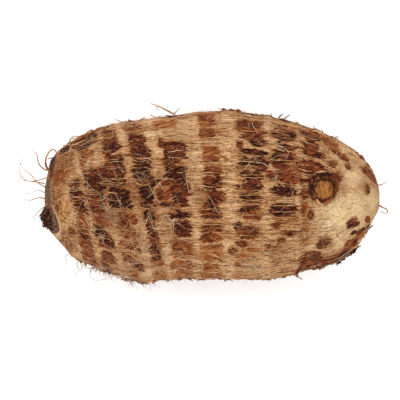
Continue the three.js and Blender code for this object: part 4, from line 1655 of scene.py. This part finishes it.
# The longest ones on the upper side: thickness, then (x, y) points in mm.
LONG_HAIRS = (
    (2.2, (-75, 15.5), (-71, 9), (-66, 4), (-62, 1), (-57, -1.5), (-50, -2)),
    (1.2, (-80, 5), (-75, 4), (-70, 6)),
    (1.5, (-72, 14), (-66, 14.5), (-60, 11.5)),
    (1.3, (-66, -18), (-60, -19), (-52, -18)),
    (1.5, (-51, -20), (-47, -17), (-44, -11), (-41, -8)),
    (1.5, (-44, -4), (-38, -3.2), (-33, 0.5), (-30, 4.5), (-27, 8), (-22, 11)),
    (1.5, (-40, -29), (-43.5, -33), (-43, -37), (-40, -39)),
    (1.1, (-21, -12.5), (-20, -18), (-18.5, -24)),
    (1.2, (-17.5, -15), (-12, -18.5)),
    (1.4, (2, 0.5), (5, -4), (9, -10)),
    (1.9, (23.5, 16), (27, 20.5), (34, 20), (40, 17), (45, 15)),
    (1.5, (26, 23.5), (27, 20.5)),
    (1.6, (43, 30), (49.5, 26), (47.5, 22)),
    (1.3, (-60, 18), (-55, 16), (-50, 17), (-47, 14)),
    (1.2, (-64, 8), (-58, 9), (-52, 7)),
    (1.3, (-46, 12), (-40, 14), (-34, 12), (-30, 13)),
    (2.4, (87.4, -30.5), (80.4, -36), (73.5, -38.5), (61, -42)),
    (1.5, (86, -32.5), (79, -37.5), (70, -40.5), (64, -41.5)),
)
# Tufts where several hairs spring from one point: x, y, how many, length in mm.
HAIR_TUFTS = ((-58, -8, 22, 9), (-53, -12, 12, 7), (-38, 10, 8, 5), (-19, -14, 8, 7), (42, 12, 8, 6))

# Root hairs: dead, colourless threads that look cream against the husk.
root_hair = patchy_fibre(
    "dead_root_hair",
    16.667,
    stops=((0.35, "#8E6A50"), (0.5, "#C0A080"), (0.68, "#D8C2A6")),
    detail=1,
    roughness=0.6,
    shine=0.2,
)

hairs = new_threads("root_hairs", HAIR_RADIUS)
chance = random.Random(HAIR_SEED)
for thickness, *places in LONG_HAIRS:
    wavy = [places[0]]
    for (x, y), (next_x, next_y) in zip(places, places[1:]):
        sway = [chance.uniform(-0.12, 0.12) for _ in range(2)]
        wavy.append(
            (
                0.5 * (x + next_x) + sway[0] * (next_y - y),
                0.5 * (y + next_y) + sway[1] * (next_x - x),
            )
        )
        wavy.append((next_x, next_y))
    points = [on_skin(*under_view(x, y), chance.uniform(0.5, 1.4))[0] for x, y in wavy]
    add_thread(hairs, points, taper=0.35, thickness=0.7 * thickness)
for x, y, count, length in HAIR_TUFTS:
    station, angle = under_view(x, y)
    for number in range(count):
        heading = 2 * math.pi * number / count
        reach = length * chance.uniform(0.4, 1.1)
        add_wander(hairs, chance, station, angle, reach, heading, 1.0, chance.uniform(0.7, 1.4))
for _ in range(TANGLE_COUNT):
    station = chance.triangular(-92, 90, -70)
    angle = chance.uniform(0, 2 * math.pi)
    length = chance.uniform(5, 18)
    heading = chance.uniform(0, 2 * math.pi)
    add_wander(hairs, chance, station, angle, length, heading, 0.8, chance.uniform(0.4, 1.0))
for _ in range(LOWER_TANGLE_COUNT):
    station = chance.triangular(-90, -10, -62)
    angle = math.radians(chance.uniform(95, 172))
    length = chance.uniform(7, 18)
    heading = chance.uniform(0, 2 * math.pi)
    add_wander(hairs, chance, station, angle, length, heading, 0.8, chance.uniform(0.4, 0.8))
for _ in range(FUZZ_COUNT):
    station = chance.triangular(-93, 103, -60)
    angle = chance.uniform(0, 2 * math.pi)
    base, out = on_skin(station, angle, -0.1)
    length = chance.uniform(0.8, 2.8)
    lean = Vector([chance.uniform(-0.8, 0.8) for _ in range(3)])
    middle = base + (out + 0.4 * lean) * length * 0.5
    tip = base + (out + lean) * length
    tip.z = max(HAIR_CLEARANCE, tip.z)
    middle.z = max(HAIR_CLEARANCE, middle.z)
    add_thread(hairs, (base, middle, tip), taper=0.4, thickness=chance.uniform(0.5, 0.9))
finish_piece("root_hairs", hairs, root_hair)
